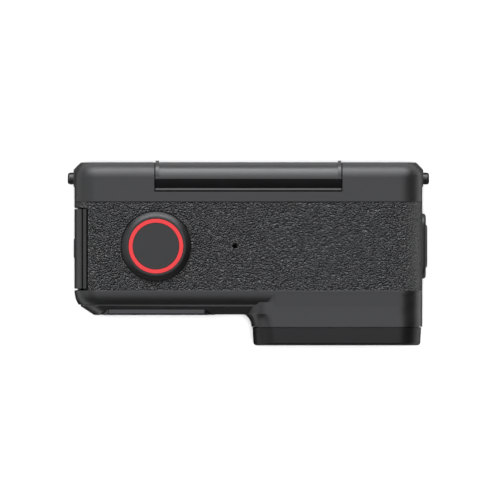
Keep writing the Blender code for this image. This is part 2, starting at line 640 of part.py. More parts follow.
def front_panel():
    """The raised front plate: leaning sides, cooling grooves and the display's window."""
    rear = CASE_FRONT - RUN
    low = (LEFT + PANEL_EDGE, PANEL_FRONT, 2.6 * MM)
    high = (RIGHT - PANEL_EDGE, rear, BODY_HEIGHT - PANEL_TOP_EDGE)
    bm = box_bmesh(low, high)
    bevel(bm, edges_along(bm, "Y"), 3.6 * MM, 4)
    width = high[0] - low[0]
    height = high[2] - low[2]
    middle = Vector(((low[0] + high[0]) / 2, PANEL_FRONT, (low[2] + high[2]) / 2))
    front = [vert for vert in bm.verts if abs(vert.co.y - PANEL_FRONT) < 0.001 * MM]
    shrink = Vector((1 - 2 * PANEL_SLOPE / width, 1.0, 1 - 2 * PANEL_TOP_SLOPE / height))
    bmesh.ops.scale(bm, vec=shrink, verts=front, space=Matrix.Translation(-middle))
    panel = keep_mesh("front_panel", bm, BLACK_PLASTIC)

    beyond = 10 * MM
    room = housing_outline(HOUSING_FLARE, 6, FIT, beyond)
    cut(panel, extruded("cut_housing_room", room, "Y", PANEL_FRONT - beyond, rear + beyond))
    side = DISPLAY_GLASS_SIDE / 2 + FIT
    cut(panel, block("cut_display_glass",
                     (DISPLAY_X - side, PANEL_FRONT - beyond, DISPLAY_Z - side),
                     (DISPLAY_X + side, PANEL_FRONT + DISPLAY_GLASS_THICKNESS + FIT, DISPLAY_Z + side),
                     radius=DISPLAY_GLASS_RADIUS + FIT))
    side = DISPLAY_SIDE / 2 + FIT
    cut(panel, block("cut_panel_display", (DISPLAY_X - side, PANEL_FRONT - beyond, DISPLAY_Z - side),
                     (DISPLAY_X + side, rear + beyond, DISPLAY_Z + side), radius=0.5 * MM, segments=2))
    grooves = []
    reach = RIGHT - PANEL_EDGE - PANEL_SLOPE - 1.2 * MM
    for i in range(FIN_GROOVES):
        z = BASE_WALL + 3.4 * MM + i * FIN_PITCH
        grooves.append(((-reach, PANEL_FRONT - beyond, z), (reach, PANEL_FRONT + FIN_DEPTH,
                                                            z + FIN_WIDTH)))
    cut(panel, blocks("cut_fins", grooves))
    return panel


def front_display():
    glass_half = DISPLAY_GLASS_SIDE / 2
    block("front_display_glass", (DISPLAY_X - glass_half, PANEL_FRONT, DISPLAY_Z - glass_half),
          (DISPLAY_X + glass_half, PANEL_FRONT + DISPLAY_GLASS_THICKNESS, DISPLAY_Z + glass_half),
          GLOSS_BLACK, radius=DISPLAY_GLASS_RADIUS)
    half = DISPLAY_SIDE / 2
    front = PANEL_FRONT + DISPLAY_GLASS_THICKNESS + FIT
    block("front_display", (DISPLAY_X - half, front, DISPLAY_Z - half),
          (DISPLAY_X + half, front + DISPLAY_THICKNESS, DISPLAY_Z + half), GLOSS_BLACK)


def lens():
    """The lens barrel with its glass, and the image sensor on its board behind it."""
    centre = (LENS_X, 0, LENS_Z)
    front = (0, -1, 0)
    seat = -FRONT_ELEMENT_SEAT
    nose = -BARREL_FRONT
    bore = FRONT_ELEMENT_RADIUS + FIT
    turned("lens_barrel",
           [(BARREL_FRONT_RADIUS, nose), (BARREL_FRONT_RADIUS, -BARREL_STEP),
            (LENS_REAR_RADIUS, -BARREL_STEP), (LENS_REAR_RADIUS, -BARREL_REAR),
            (REAR_GROUP_RADIUS + FIT, -BARREL_REAR), (REAR_GROUP_RADIUS + FIT, seat), (bore, seat),
            (bore, seat + 3.3 * MM), (bore + 1.4 * MM, nose)],
           centre, front, BLACK_PLASTIC, 32)
    sphere = 24.0 * MM
    dome = []
    for i in range(5):
        radius = FRONT_ELEMENT_RADIUS * i / 4
        dome.append((radius, seat + 3.9 * MM - sphere + math.sqrt(sphere ** 2 - radius ** 2)))
    turned("lens_front_element", dome + [(FRONT_ELEMENT_RADIUS, seat + FIT), (0, seat + FIT)],
           centre, front, LENS_GLASS, 32)
    ring_inner = FRONT_ELEMENT_RADIUS - 0.6 * MM
    ring_low = seat + 3.5 * MM
    turned("lens_retaining_ring",
           [(bore + 0.3 * MM, ring_low + 0.9 * MM), (bore - 0.1 * MM, ring_low),
            (ring_inner, ring_low), (ring_inner, ring_low + 0.9 * MM)],
           centre, front, BLACK_PLASTIC, 32)
    disc("lens_rear_group", REAR_GROUP_RADIUS, -BARREL_REAR + 0.5 * MM, seat - 0.3 * MM,
         centre, front, LENS_GLASS, 20)
    sensor_front = BARREL_REAR + RUN
    board_front = sensor_front + 1.2 * MM + FIT
    block("image_sensor", (LENS_X - SENSOR_WIDTH / 2, sensor_front, LENS_Z - SENSOR_HEIGHT / 2),
          (LENS_X + SENSOR_WIDTH / 2, sensor_front + 1.2 * MM, LENS_Z + SENSOR_HEIGHT / 2),
          GLOSS_BLACK)
    block("sensor_board", (LENS_X - 10 * MM, board_front, LENS_Z - 9 * MM),
          (LENS_X + 10 * MM, board_front + BOARD_THICKNESS, LENS_Z + 9 * MM), BOARD_GREEN)


def lens_guard():
    """The square twist-off guard: frame with a short tube, flat glass and seal."""
    half = GUARD_WIDTH / 2
    bm = box_bmesh((LENS_X - half, GUARD_FRONT, LENS_Z - half), (LENS_X + half, GUARD_REAR, LENS_Z + half))
    bevel(bm, edges_along(bm, "Y"), HOUSING_RADIUS, 6)
    front = [vert for vert in bm.verts if abs(vert.co.y - GUARD_FRONT) < 0.001 * MM]
    shrink = GUARD_FRONT_WIDTH / GUARD_WIDTH
    middle = Vector((LENS_X, GUARD_FRONT, LENS_Z))
    bmesh.ops.scale(bm, vec=(shrink, 1.0, shrink), verts=front, space=Matrix.Translation(-middle))
    bevel(bm, edges_on(bm, "Y", GUARD_FRONT), 0.6 * MM, 2)
    frame = keep_mesh("lens_guard_frame", bm, BLACK_PLASTIC)
    centre = (LENS_X, 0, LENS_Z)
    facing = (0, -1, 0)
    join(frame, disc("join_guard_tube", GUARD_TUBE_RADIUS, -GUARD_REAR - GUARD_TUBE_REACH,
                     -GUARD_REAR + 0.5 * MM, centre, facing, steps=40))
    glass_front = -GUARD_FRONT - GUARD_GLASS_RECESS
    glass_rear = glass_front - GUARD_GLASS_THICKNESS
    seal_rear = glass_rear - FIT - 0.5 * MM
    room = GUARD_GLASS_RADIUS + FIT
    outside = -GUARD_FRONT + 5 * MM
    inside = -GUARD_REAR - 5 * MM
    cut(frame, turned("cut_guard_bore",
                      [(0, outside), (room, outside), (room, seal_rear - FIT),
                       (GUARD_BORE_RADIUS, seal_rear - FIT), (GUARD_BORE_RADIUS, inside), (0, inside)],
                      centre, facing, steps=40))
    disc("lens_guard_glass", GUARD_GLASS_RADIUS, glass_rear, glass_front, centre, facing,
         LENS_GLASS, 40)
    turned("lens_guard_seal",
           [(GUARD_GLASS_RADIUS, glass_rear - FIT), (GUARD_GLASS_RADIUS, seal_rear),
            (GUARD_BORE_RADIUS + 0.4 * MM, seal_rear), (GUARD_BORE_RADIUS + 0.4 * MM, glass_rear - FIT)],
           centre, facing, RUBBER, 40)
    names = ("lens_guard_frame", "lens_guard_glass", "lens_guard_seal")
    carry((LENS_X, GUARD_REAR, LENS_Z), "guard_twist", [bpy.data.objects[name] for name in names])


def shutter_button():
    """The round top button with its red ring, on a small switch."""
    centre = (SHUTTER_X, SHUTTER_Y, 0)
    up = (0, 0, 1)
    top = BODY_HEIGHT + SHUTTER_PROUD
    foot = CAVITY_TOP - 0.9 * MM
    groove_in = RING_OUTER_RADIUS - RING_WIDTH - 0.1 * MM
    groove_out = RING_OUTER_RADIUS + 0.1 * MM
    floor = top - RING_DEPTH - 0.1 * MM
    cap = turned("shutter_cap",
                 [(0, top), (groove_in, top), (groove_in, floor), (groove_out, floor),
                  (groove_out, top), (SHUTTER_TOP_RADIUS, top),
                  (SHUTTER_RADIUS, BODY_HEIGHT + 0.1 * MM), (SHUTTER_RADIUS, CAVITY_TOP - RUN),
                  (SHUTTER_RADIUS + SHUTTER_FLANGE, CAVITY_TOP - RUN),
                  (SHUTTER_RADIUS + SHUTTER_FLANGE, foot),
                  (1.5 * MM, foot), (1.5 * MM, foot - 0.3 * MM), (0, foot - 0.3 * MM)],
                 centre, up, BLACK_PLASTIC, 40)
    ring = turned("shutter_ring",
                  [(RING_OUTER_RADIUS, top - 0.05 * MM), (RING_OUTER_RADIUS, floor + 0.1 * MM),
                   (RING_OUTER_RADIUS - RING_WIDTH, floor + 0.1 * MM),
                   (RING_OUTER_RADIUS - RING_WIDTH, top - 0.05 * MM)],
                  centre, up, RED_PLASTIC, 40)
    carry((SHUTTER_X, SHUTTER_Y, top), "shutter_travel", [cap, ring])
    switch_top = foot - 0.4 * MM - SHUTTER_TRAVEL
    board_top = PORT_BOARD_Z + PORT_BOARD_THICKNESS
    block("shutter_switch", (SHUTTER_X - 2.6 * MM, SHUTTER_Y - 2.6 * MM, board_top + FIT),
          (SHUTTER_X + 2.6 * MM, SHUTTER_Y + 2.6 * MM, switch_top), BLACK_PLASTIC)


def power_button():
    """The long side button: a bezel in the wall, the cap in it, and the switch inside."""
    length = POWER_BEZEL_LENGTH / 2
    rise = POWER_BEZEL_HEIGHT / 2
    bezel = block("power_bezel", (RIGHT - WALL, POWER_Y - length, POWER_Z - rise),
                  (RIGHT + POWER_BEZEL_PROUD, POWER_Y + length, POWER_Z + rise), BLACK_PLASTIC,
                  axis="X", radius=rise * 0.999, segments=5)
    long_half = POWER_CAP_LENGTH / 2
    cap_rise = POWER_CAP_HEIGHT / 2
    cut(bezel, block("cut_power_cap",
                     (RIGHT - WALL - 5 * MM, POWER_Y - long_half - FIT, POWER_Z - cap_rise - FIT),
                     (RIGHT + 5 * MM, POWER_Y + long_half + FIT, POWER_Z + cap_rise + FIT),
                     axis="X", radius=(cap_rise + FIT) * 0.999, segments=5))
    cap = block("power_cap", (RIGHT - WALL, POWER_Y - long_half, POWER_Z - cap_rise),
                (RIGHT + POWER_CAP_PROUD, POWER_Y + long_half, POWER_Z + cap_rise), BLACK_PLASTIC,
                axis="X", radius=cap_rise * 0.999, segments=5)
    carry((RIGHT + POWER_CAP_PROUD, POWER_Y, POWER_Z), "power_travel", [cap])
    switch_end = RIGHT - WALL - POWER_TRAVEL - FIT
    block("power_switch", (switch_end - 1.4 * MM, POWER_Y - 2 * MM, POWER_Z - 1.6 * MM),
          (switch_end, POWER_Y + 2 * MM, POWER_Z + 1.6 * MM), BLACK_PLASTIC)


def microphone_and_speaker():
    disc("top_mic_mesh", MIC_RADIUS + 0.9 * MM, CAVITY_TOP - 0.7 * MM, CAVITY_TOP - FIT,
         (MIC_X, MIC_Y, 0), (0, 0, 1), STEEL, 16)
    inner = RIGHT - WALL
    block("speaker_mesh", (inner - FIT - 0.4 * MM, -2.6 * MM, BASE_WALL + 7.0 * MM),
          (inner - FIT, 5.4 * MM, BASE_WALL + 14.7 * MM), STEEL)
    block("speaker_driver", (inner - 4.4 * MM, -3.0 * MM, BASE_WALL + 6.0 * MM),
          (inner - 0.8 * MM, 5.6 * MM, BASE_WALL + 15.7 * MM), BLACK_PLASTIC, axis="X",
          radius=1.5 * MM, segments=3)


def boards():
    """The main board with its shield, and the plate that spreads their heat."""
    board_left = HOUSING_LEFT + 0.2 * MM
    board_right = RIGHT - WALL - 5.6 * MM
    board_rear = BOARD_Y + BOARD_THICKNESS
    block("main_board", (board_left, BOARD_Y, BASE_WALL + 2 * MM),
          (board_right, board_rear, CAVITY_TOP - 1.6 * MM), BOARD_GREEN)
    shield_front = board_rear + FIT
    block("processor_shield", (board_left + 4 * MM, shield_front, BASE_WALL + 9 * MM),
          (board_right - 4 * MM, shield_front + 1.4 * MM, CAVITY_STEP_Z - 8 * MM), ALUMINIUM,
          radius=1.0 * MM, segments=2)
    plate_front = shield_front + 1.4 * MM + FIT
    block("heat_spreader", (board_left - 1.2 * MM, plate_front, BASE_WALL + 2 * MM),
          (board_right, plate_front + 1.2 * MM, CAVITY_STEP_Z - 1.0 * MM), ALUMINIUM,
          radius=1.0 * MM, segments=2)


def battery_and_ports():
    """The battery in its bay, with the ports and the memory card above it."""
    battery_left = LEFT + 3.4 * MM
    battery_right = HOUSING_LEFT - 2.8 * MM
    battery_top = PORT_BOARD_Z - 3.4 * MM
    block("battery", (battery_left, PORT_Y - BATTERY_THICKNESS / 2, BAY_FOOT + 0.2 * MM),
          (battery_right, PORT_Y + BATTERY_THICKNESS / 2, battery_top), BATTERY_GREY,
          axis="X", radius=1.0 * MM, segments=3)
    port_left = BAY_LEFT - 0.8 * MM
    block("port_board", (port_left, PORT_Y - 6.0 * MM, PORT_BOARD_Z),
          (battery_right, PORT_Y + 6.0 * MM, PORT_BOARD_Z + PORT_BOARD_THICKNESS), BOARD_GREEN)
    usb_foot = PORT_BOARD_Z + PORT_BOARD_THICKNESS + FIT
    usb = block("usb_port", (port_left, PORT_Y - USB_WIDTH / 2, usb_foot),
                (port_left + 7.4 * MM, PORT_Y + USB_WIDTH / 2, usb_foot + USB_HEIGHT), STEEL,
                axis="X", radius=USB_HEIGHT * 0.45, segments=4)
    rim = 0.35 * MM
    cut(usb, block("cut_usb", (port_left - 5 * MM, PORT_Y - USB_WIDTH / 2 + rim, usb_foot + rim),
                   (port_left + 6.4 * MM, PORT_Y + USB_WIDTH / 2 - rim, usb_foot + USB_HEIGHT - rim),
                   axis="X", radius=USB_HEIGHT * 0.33, segments=4))
    slot_half = CARD_WIDTH / 2 + 0.6 * MM
    slot_top = PORT_BOARD_Z - FIT
    slot_foot = slot_top - 2.0 * MM
    slot_right = port_left + CARD_LENGTH + 0.5 * MM
    slot = block("card_slot", (port_left + 0.6 * MM, PORT_Y - slot_half, slot_foot),
                 (slot_right, PORT_Y + slot_half, slot_top), STEEL)
    card_foot = slot_foot + 0.6 * MM
    cut(slot, block("cut_card", (port_left - 5 * MM, PORT_Y - CARD_WIDTH / 2 - FIT, card_foot - FIT),
                    (slot_right - 0.5 * MM, PORT_Y + CARD_WIDTH / 2 + FIT,
                     card_foot + CARD_THICKNESS + FIT)))
    block("memory_card", (port_left, PORT_Y - CARD_WIDTH / 2, card_foot),
          (slot_right - 0.8 * MM, PORT_Y + CARD_WIDTH / 2, card_foot + CARD_THICKNESS), GLOSS_BLACK)


def base():
    """The mounting plate let into the base, with claw notches, magnets and screws."""
    half = BASE_PLATE_WIDTH / 2
    deep = BASE_PLATE_DEPTH / 2
    plate = block("base_plate", (-half, BASE_PLATE_Y - deep, 0.0),
                  (half, BASE_PLATE_Y + deep, BASE_PLATE_THICKNESS), ALUMINIUM,
                  axis="Z", radius=2.0 * MM)
    notches = []
    for x in (-half, half):
        notches.append(((x - CLAW_WIDTH / 2, BASE_PLATE_Y - CLAW_DEPTH / 2, -5 * MM),
                        (x + CLAW_WIDTH / 2, BASE_PLATE_Y + CLAW_DEPTH / 2, 5 * MM)))
    cut(plate, blocks("cut_claws", notches))
    magnet_foot = BASE_PLATE_THICKNESS + FIT
    for name, x in (("left", -magnet_offset()), ("right", magnet_offset())):
        disc("mount_magnet_" + name, MAGNET_RADIUS, magnet_foot, magnet_foot + MAGNET_THICKNESS,
             (x, BASE_PLATE_Y, 0), (0, 0, 1), STEEL, 20)
    for i, (x, y) in enumerate(base_screw_places()):
        number = "%d" % (i + 1)
        disc("base_screw_" + number, SCREW_RADIUS, 0.1 * MM, BASE_WALL - 0.5 * MM, (x, y, 0),
             (0, 0, 1), STEEL, 10)
        cut(plate, disc("cut_plate_screw_" + number, SCREW_RADIUS + FIT, -5 * MM, 5 * MM,
                        (x, y, 0), (0, 0, 1), steps=10))


def rear_screws():
    for i, (x, z) in enumerate(rear_screw_places()):
        screw_shape("rear_screw_%d" % (i + 1), (x, REAR_WALL, z), (0, 1, 0),
                    WALL + 0.9 * MM, STEEL)


def screen_unit():
    """The flip-up screen: frame, glass, panel, rear cover, magnet and hinge barrel."""
    half = SCREEN_HALF
    bm = box_bmesh((-half, SCREEN_FRONT, SCREEN_FOOT), (half, REAR_FACE, SCREEN_TOP))
    bevel(bm, edges_along(bm, "Y", lambda m: m.z < BODY_HEIGHT / 2), 2.0 * MM, 4)
    bevel(bm, edges_along(bm, "Z", lambda m: m.y > REAR_FACE - 0.01 * MM), SCREEN_CHAMFER, 1)
    frame = keep_mesh("screen_frame", bm, BLACK_PLASTIC)
    tab_y = SCREEN_FRONT + 1.8 * MM
    for side, x in (("left", -1), ("right", 1)):
        profile = [(0, TAB_REACH), (TAB_RADIUS * 0.6, TAB_REACH), (TAB_RADIUS, TAB_REACH * 0.6),
                   (TAB_RADIUS, -0.6 * MM), (0, -0.6 * MM)]
        join(frame, turned("join_tab_" + side, profile, (x * half, tab_y, TAB_HEIGHT), (x, 0, 0),
                           steps=16))

    beyond = 5 * MM
    glass_x = half - SCREEN_BEZEL
    glass_low = SCREEN_FOOT + SCREEN_BEZEL
    glass_high = SCREEN_TOP - SCREEN_BEZEL
    glass_rear = REAR_FACE - 0.1 * MM - SCREEN_GLASS_THICKNESS
    cut(frame, block("cut_screen_glass", (-glass_x, glass_rear - FIT, glass_low),
                     (glass_x, REAR_FACE + beyond, glass_high), radius=1.0 * MM, segments=3))
    block("screen_glass", (-glass_x + FIT, glass_rear, glass_low + FIT),
          (glass_x - FIT, REAR_FACE - 0.1 * MM, glass_high - FIT), GLOSS_BLACK,
          radius=1.0 * MM - FIT, segments=3)
    lip = 1.2 * MM
    lcd_rear = glass_rear - 2 * FIT
    lcd_front = lcd_rear - SCREEN_LCD_THICKNESS
    cut(frame, block("cut_screen_lcd", (-glass_x + lip, lcd_front - FIT, glass_low + lip),
                     (glass_x - lip, REAR_FACE + beyond, glass_high - lip)))
    block("screen_lcd", (-glass_x + lip + FIT, lcd_front, glass_low + lip + FIT),
          (glass_x - lip - FIT, lcd_rear, glass_high - lip - FIT), GLOSS_BLACK)
    cover_x = half - 6.0 * MM
    cover_low = SCREEN_FOOT + 4.0 * MM
    cover_high = SCREEN_TOP - 4.0 * MM
    cut(frame, block("cut_screen_cover", (-cover_x, SCREEN_FRONT - beyond, cover_low),
                     (cover_x, SCREEN_FRONT + SCREEN_COVER_THICKNESS + FIT, cover_high),
                     radius=2.0 * MM, segments=3))
    block("screen_back_cover", (-cover_x + FIT, SCREEN_FRONT, cover_low + FIT),
          (cover_x - FIT, SCREEN_FRONT + SCREEN_COVER_THICKNESS, cover_high - FIT), ALUMINIUM,
          radius=2.0 * MM - FIT, segments=3)
    magnet_low = SCREEN_FOOT + 0.7 * MM
    magnet_high = magnet_low + 1.8 * MM
    magnet_rear = SCREEN_FRONT + 1.8 * MM
    cut(frame, block("cut_screen_magnet", (-6 * MM - FIT, SCREEN_FRONT - beyond, magnet_low - FIT),
                     (6 * MM + FIT, magnet_rear + FIT, magnet_high + FIT)))
    block("screen_magnet", (-6 * MM, SCREEN_FRONT + FIT, magnet_low), (6 * MM, magnet_rear, magnet_high),
          STEEL)
    tongue = TONGUE_LENGTH / 2
    tongue_front = HINGE_Y - TONGUE_THICKNESS / 2
    tongue_rear = HINGE_Y + TONGUE_THICKNESS / 2
    cut(frame, block("cut_tongue", (-tongue - FIT, tongue_front - FIT, SCREEN_TOP - TONGUE_DEPTH - FIT),
                     (tongue + FIT, tongue_rear + FIT, SCREEN_TOP + beyond)))
    barrel = hinge_barrel((-tongue, tongue_front, SCREEN_TOP - TONGUE_DEPTH),
                          (tongue, tongue_rear, HINGE_Z - BARREL_RADIUS + 1.0 * MM))
    names = ("screen_glass", "screen_lcd", "screen_back_cover", "screen_magnet")
    pieces = [frame, barrel] + [bpy.data.objects[name] for name in names]
    carry((0, HINGE_Y, HINGE_Z), "screen_hinge", pieces)


def hinge_barrel(tongue_low, tongue_high):
    """The barrel that turns between the shoulders, with a groove along its front."""
    axis = (HINGE_Y, HINGE_Z)
    groove = [(HINGE_Y + BARREL_RADIUS * y, HINGE_Z + BARREL_RADIUS * z) for y, z in BARREL_GROOVE]
    outline = arc(axis, BARREL_RADIUS, math.pi / 2, BARREL_RIDGE - math.tau, 18) + groove
    widen = 1 + BARREL_COLLAR_RISE / BARREL_RADIUS
    bar_end = HINGE_END - BARREL_COLLAR_LENGTH
    rings = []
    for x, scale in ((-HINGE_END, widen), (-bar_end, 1.0), (bar_end, 1.0), (HINGE_END, widen)):
        rings.append([(x, HINGE_Y + (y - HINGE_Y) * scale, HINGE_Z + (z - HINGE_Z) * scale)
                      for y, z in outline])
    barrel = lofted("hinge_barrel", rings, BLACK_PLASTIC)
    join(barrel, block("join_tongue", tongue_low, tongue_high))
    for side, x in (("left", -1), ("right", 1)):
        end = (x * HINGE_END, HINGE_Y, HINGE_Z)
        cut(barrel, disc("cut_barrel_pin_" + side, HINGE_PIN_RADIUS + FIT, -HINGE_PIN_REACH - RUN,
                         1 * MM, end, (x, 0, 0), steps=16))
        disc("hinge_pin_" + side, HINGE_PIN_RADIUS, -HINGE_PIN_REACH, HINGE_PIN_REACH,
             end, (x, 0, 0), STEEL, 12)
    return barrel


def side_door():
    """The bottom-hinged door with its latch, liner plate, seal and pin."""
    profile = door_profile(TOP_EDGE_RADIUS, TOP_EDGE_RADIUS - DOOR_THICKNESS, DOOR_END_ANGLE,
                           DOOR_FOOT)
    door = extruded("side_door", profile, "Y", DOOR_FRONT, DOOR_REAR, BLACK_PLASTIC)
    axis = (DOOR_AXIS_X, 0, DOOR_AXIS_Z)
    along = (0, 1, 0)
    join(door, disc("join_knuckle", KNUCKLE_RADIUS, DOOR_FRONT + 0.01 * MM, DOOR_REAR - 0.01 * MM,
                    axis, along, steps=20))
    cut(door, disc("cut_knuckle_pin", DOOR_PIN_RADIUS + FIT, DOOR_FRONT - 1 * MM,
                   DOOR_REAR + 1 * MM, axis, along, steps=12))
    pin = disc("door_hinge_pin", DOOR_PIN_RADIUS, SEAM - 1.0 * MM, DOOR_REAR + 1.7 * MM,
               axis, along, STEEL, 12)

    latch_top = BODY_HEIGHT - LATCH_TOP_DROP
    latch_foot = latch_top - LATCH_LENGTH
    seat = LEFT + LATCH_SEAT
    wide = LATCH_WIDTH / 2
    cut(door, block("cut_latch_track",
                    (LEFT - 5 * MM, LATCH_Y - wide - FIT, latch_foot - LATCH_TRAVEL - FIT),
                    (seat + FIT, LATCH_Y + wide + FIT, latch_top + FIT)))
    latch = block("door_latch", (LEFT - LATCH_PROUD, LATCH_Y - wide, latch_foot),
                  (seat, LATCH_Y + wide, latch_top), RUBBER)
    grooves = []
    for i in range(LATCH_RIBS):
        z = latch_foot + 1.5 * MM + i * 1.4 * MM
        grooves.append(((LEFT - 5 * MM, LATCH_Y - wide + 0.4 * MM, z),
                        (LEFT + 0.25 * MM, LATCH_Y + wide - 0.4 * MM, z + 0.6 * MM)))
    cut(latch, blocks("cut_latch_ribs", grooves))

    inner = LEFT + DOOR_THICKNESS + FIT
    seal_out = 0.2 * MM
    seal_in = 1.1 * MM
    gasket = block("door_gasket", (inner, BAY_FRONT + seal_out, BAY_FOOT + seal_out + 0.6 * MM),
                   (inner + 1.2 * MM, BAY_REAR - seal_out, BAY_TOP - seal_out), RUBBER,
                   axis="X", radius=1.2 * MM, segments=3)
    low = (BAY_FRONT + seal_in, BAY_FOOT + seal_in + 0.6 * MM)
    high = (BAY_REAR - seal_in, BAY_TOP - seal_in)
    cut(gasket, block("cut_gasket", (inner - 5 * MM, low[0], low[1]), (inner + 5 * MM, high[0], high[1]),
                      axis="X", radius=0.8 * MM, segments=2))
    plate = block("door_inner_plate", (inner, low[0] + FIT, low[1] + FIT),
                  (inner + 0.8 * MM, high[0] - FIT, high[1] - FIT), ALUMINIUM,
                  axis="X", radius=0.8 * MM, segments=2)
    hinge = carry(axis, "door_hinge", [door, gasket, plate])
    carry((LEFT, LATCH_Y, latch_top), "latch_travel", [latch], hinge)
    return pin


main_case()
front_case()
front_panel()
front_display()
lens()
lens_guard()
shutter_button()
power_button()
microphone_and_speaker()
boards()
battery_and_ports()
base()
rear_screws()
screen_unit()
side_door()
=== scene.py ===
"""Looks of a compact action camera with a flip-up screen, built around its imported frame."""
import math

import bpy
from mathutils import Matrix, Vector


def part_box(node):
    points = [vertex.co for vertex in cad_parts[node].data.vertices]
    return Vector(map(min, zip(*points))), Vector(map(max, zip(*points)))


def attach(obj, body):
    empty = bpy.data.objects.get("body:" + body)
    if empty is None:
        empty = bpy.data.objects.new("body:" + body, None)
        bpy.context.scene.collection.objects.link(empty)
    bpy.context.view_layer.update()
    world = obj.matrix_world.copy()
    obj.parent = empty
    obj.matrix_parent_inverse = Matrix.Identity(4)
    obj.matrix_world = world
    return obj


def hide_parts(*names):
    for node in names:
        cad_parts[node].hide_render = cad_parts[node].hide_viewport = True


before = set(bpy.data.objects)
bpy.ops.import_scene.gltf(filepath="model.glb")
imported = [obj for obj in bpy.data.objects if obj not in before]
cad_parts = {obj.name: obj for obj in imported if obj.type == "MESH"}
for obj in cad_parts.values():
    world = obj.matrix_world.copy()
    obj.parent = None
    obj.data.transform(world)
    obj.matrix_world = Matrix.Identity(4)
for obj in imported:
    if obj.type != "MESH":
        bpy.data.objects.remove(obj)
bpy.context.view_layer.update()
mm = 0.001


# Main case. The body shell is one moulding of black glass-filled plastic, with leather grain on its
# outside, a smooth band at the rear and two rounded shoulders that hold the screen's hinge.
def object_mode():
    bpy.ops.object.mode_set(mode="OBJECT")


def edit_mode():
    bpy.ops.object.mode_set(mode="EDIT")


def deselect():
    if bpy.context.object and bpy.context.object.mode != "OBJECT":
        object_mode()
    bpy.ops.object.select_all(action="DESELECT")


def pick(piece):
    deselect()
    piece.select_set(True)
    bpy.context.view_layer.objects.active = piece


def settle(piece):
    """Puts a piece's place and turn into its mesh, so that its object stays at the origin."""
    pick(piece)
    bpy.ops.object.transform_apply(location=True, rotation=True, scale=True)
    return piece


def block(name, low, high):
    """A cube, added at its size and place."""
    low, high = Vector(low), Vector(high)
    deselect()
    bpy.ops.mesh.primitive_cube_add(size=1.0, location=(low + high) / 2, scale=high - low)
    bpy.context.object.name = name
    return settle(bpy.context.object)


def rod(name, radius, start, end, sides=64):
    """A cylinder between two points on its axis."""
    start, end = Vector(start), Vector(end)
    turn = (end - start).to_track_quat("Z", "Y").to_euler()
    deselect()
    bpy.ops.mesh.primitive_cylinder_add(vertices=sides, radius=radius, depth=(end - start).length,
                                        location=(start + end) / 2, rotation=turn)
    bpy.context.object.name = name
    return settle(bpy.context.object)


def pick_edges(piece, test):
    """Selects the edges whose two ends pass a test, and goes into edit mode."""
    pick(piece)
    edit_mode()
    bpy.context.tool_settings.mesh_select_mode = (False, True, False)
    bpy.ops.mesh.select_all(action="DESELECT")
    object_mode()
    points = piece.data.vertices
    for edge in piece.data.edges:
        edge.select = test(points[edge.vertices[0]].co, points[edge.vertices[1]].co)
    edit_mode()


def pick_faces(piece, way):
    """Selects the faces that look along an axis, such as "-Y", and goes into edit mode."""
    sign = -1 if way[0] == "-" else 1
    index = "XYZ".index(way[1])
    pick(piece)
    edit_mode()
    bpy.context.tool_settings.mesh_select_mode = (False, False, True)
    bpy.ops.mesh.select_all(action="DESELECT")
    object_mode()
    for face in piece.data.polygons:
        face.select = sign * face.normal[index] > 0.9
    edit_mode()


def move_face(piece, way, shift):
    pick_faces(piece, way)
    bpy.ops.transform.translate(value=shift)
    object_mode()


def draw_out(shift, grow, about):
    """Extrudes the picked face, and grows the new one about a point."""
    bpy.ops.mesh.extrude_region_move(TRANSFORM_OT_translate={"value": shift})
    bpy.ops.transform.resize(value=grow, center_override=about)


def face_outwards():
    """Turns all the faces of the piece in edit mode outwards, and leaves edit mode."""
    bpy.ops.mesh.select_all(action="SELECT")
    bpy.ops.mesh.normals_make_consistent(inside=False)
    object_mode()


def round_edges(piece, test, radius, segments, clamp=True):
    pick_edges(piece, test)
    bpy.ops.mesh.bevel(offset=radius, offset_type="OFFSET", segments=segments, affect="EDGES",
                       clamp_overlap=clamp)
    object_mode()


def runs(axis, keep=lambda middle: True):
    """A test for edges that run along an axis, and whose middle passes keep."""
    index = "XYZ".index(axis)

    def test(a, b):
        along = b - a
        return abs(along[index]) > 0.999 * along.length and keep((a + b) / 2)
    return test


def lies(axis, place, slack=0.002 * mm):
    """A test for edges that lie in a plane across an axis."""
    index = "XYZ".index(axis)
    return lambda a, b: abs(a[index] - place) < slack and abs(b[index] - place) < slack


def shape(piece, operation, tool):
    """Cuts a piece with a tool, or joins the tool to it, and takes the tool away."""
    modifier = piece.modifiers.new(tool.name, "BOOLEAN")
    modifier.operation = operation
    modifier.solver = "MANIFOLD"
    modifier.object = tool
    pick(piece)
    bpy.ops.object.modifier_apply(modifier=modifier.name)
    bpy.data.objects.remove(tool, do_unlink=True)


def cut(piece, *tools):
    for tool in tools:
        shape(piece, "DIFFERENCE", tool)


def weld(piece, *tools):
    for tool in tools:
        shape(piece, "UNION", tool)


def smooth(piece, angle=32, soften=0.0):
    """Smooth shading up to an angle, with a small soft edge where one is asked for."""
    if soften:
        edge = piece.modifiers.new("soft_edge", "BEVEL")
        edge.width = soften
        edge.segments = 2
        edge.limit_method = "ANGLE"
        edge.angle_limit = math.radians(35)
        edge.use_clamp_overlap = True
        edge.harden_normals = False
        pick(piece)
        bpy.ops.object.modifier_apply(modifier=edge.name)
    pick(piece)
    bpy.ops.object.shade_smooth_by_angle(angle=math.radians(angle))
    flat = piece.modifiers.new("flat_faces", "WEIGHTED_NORMAL")
    flat.keep_sharp = True
    flat.weight = 100
    bpy.ops.object.modifier_apply(modifier=flat.name)


def wear(piece, surface, body, slot, *nodes):
    """Gives a piece its material, its body and the solids that it stands for; slot is not used."""
    piece.data.materials.clear()
    piece.data.materials.append(surface)
    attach(piece, body)
    if nodes:
        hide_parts(*nodes)


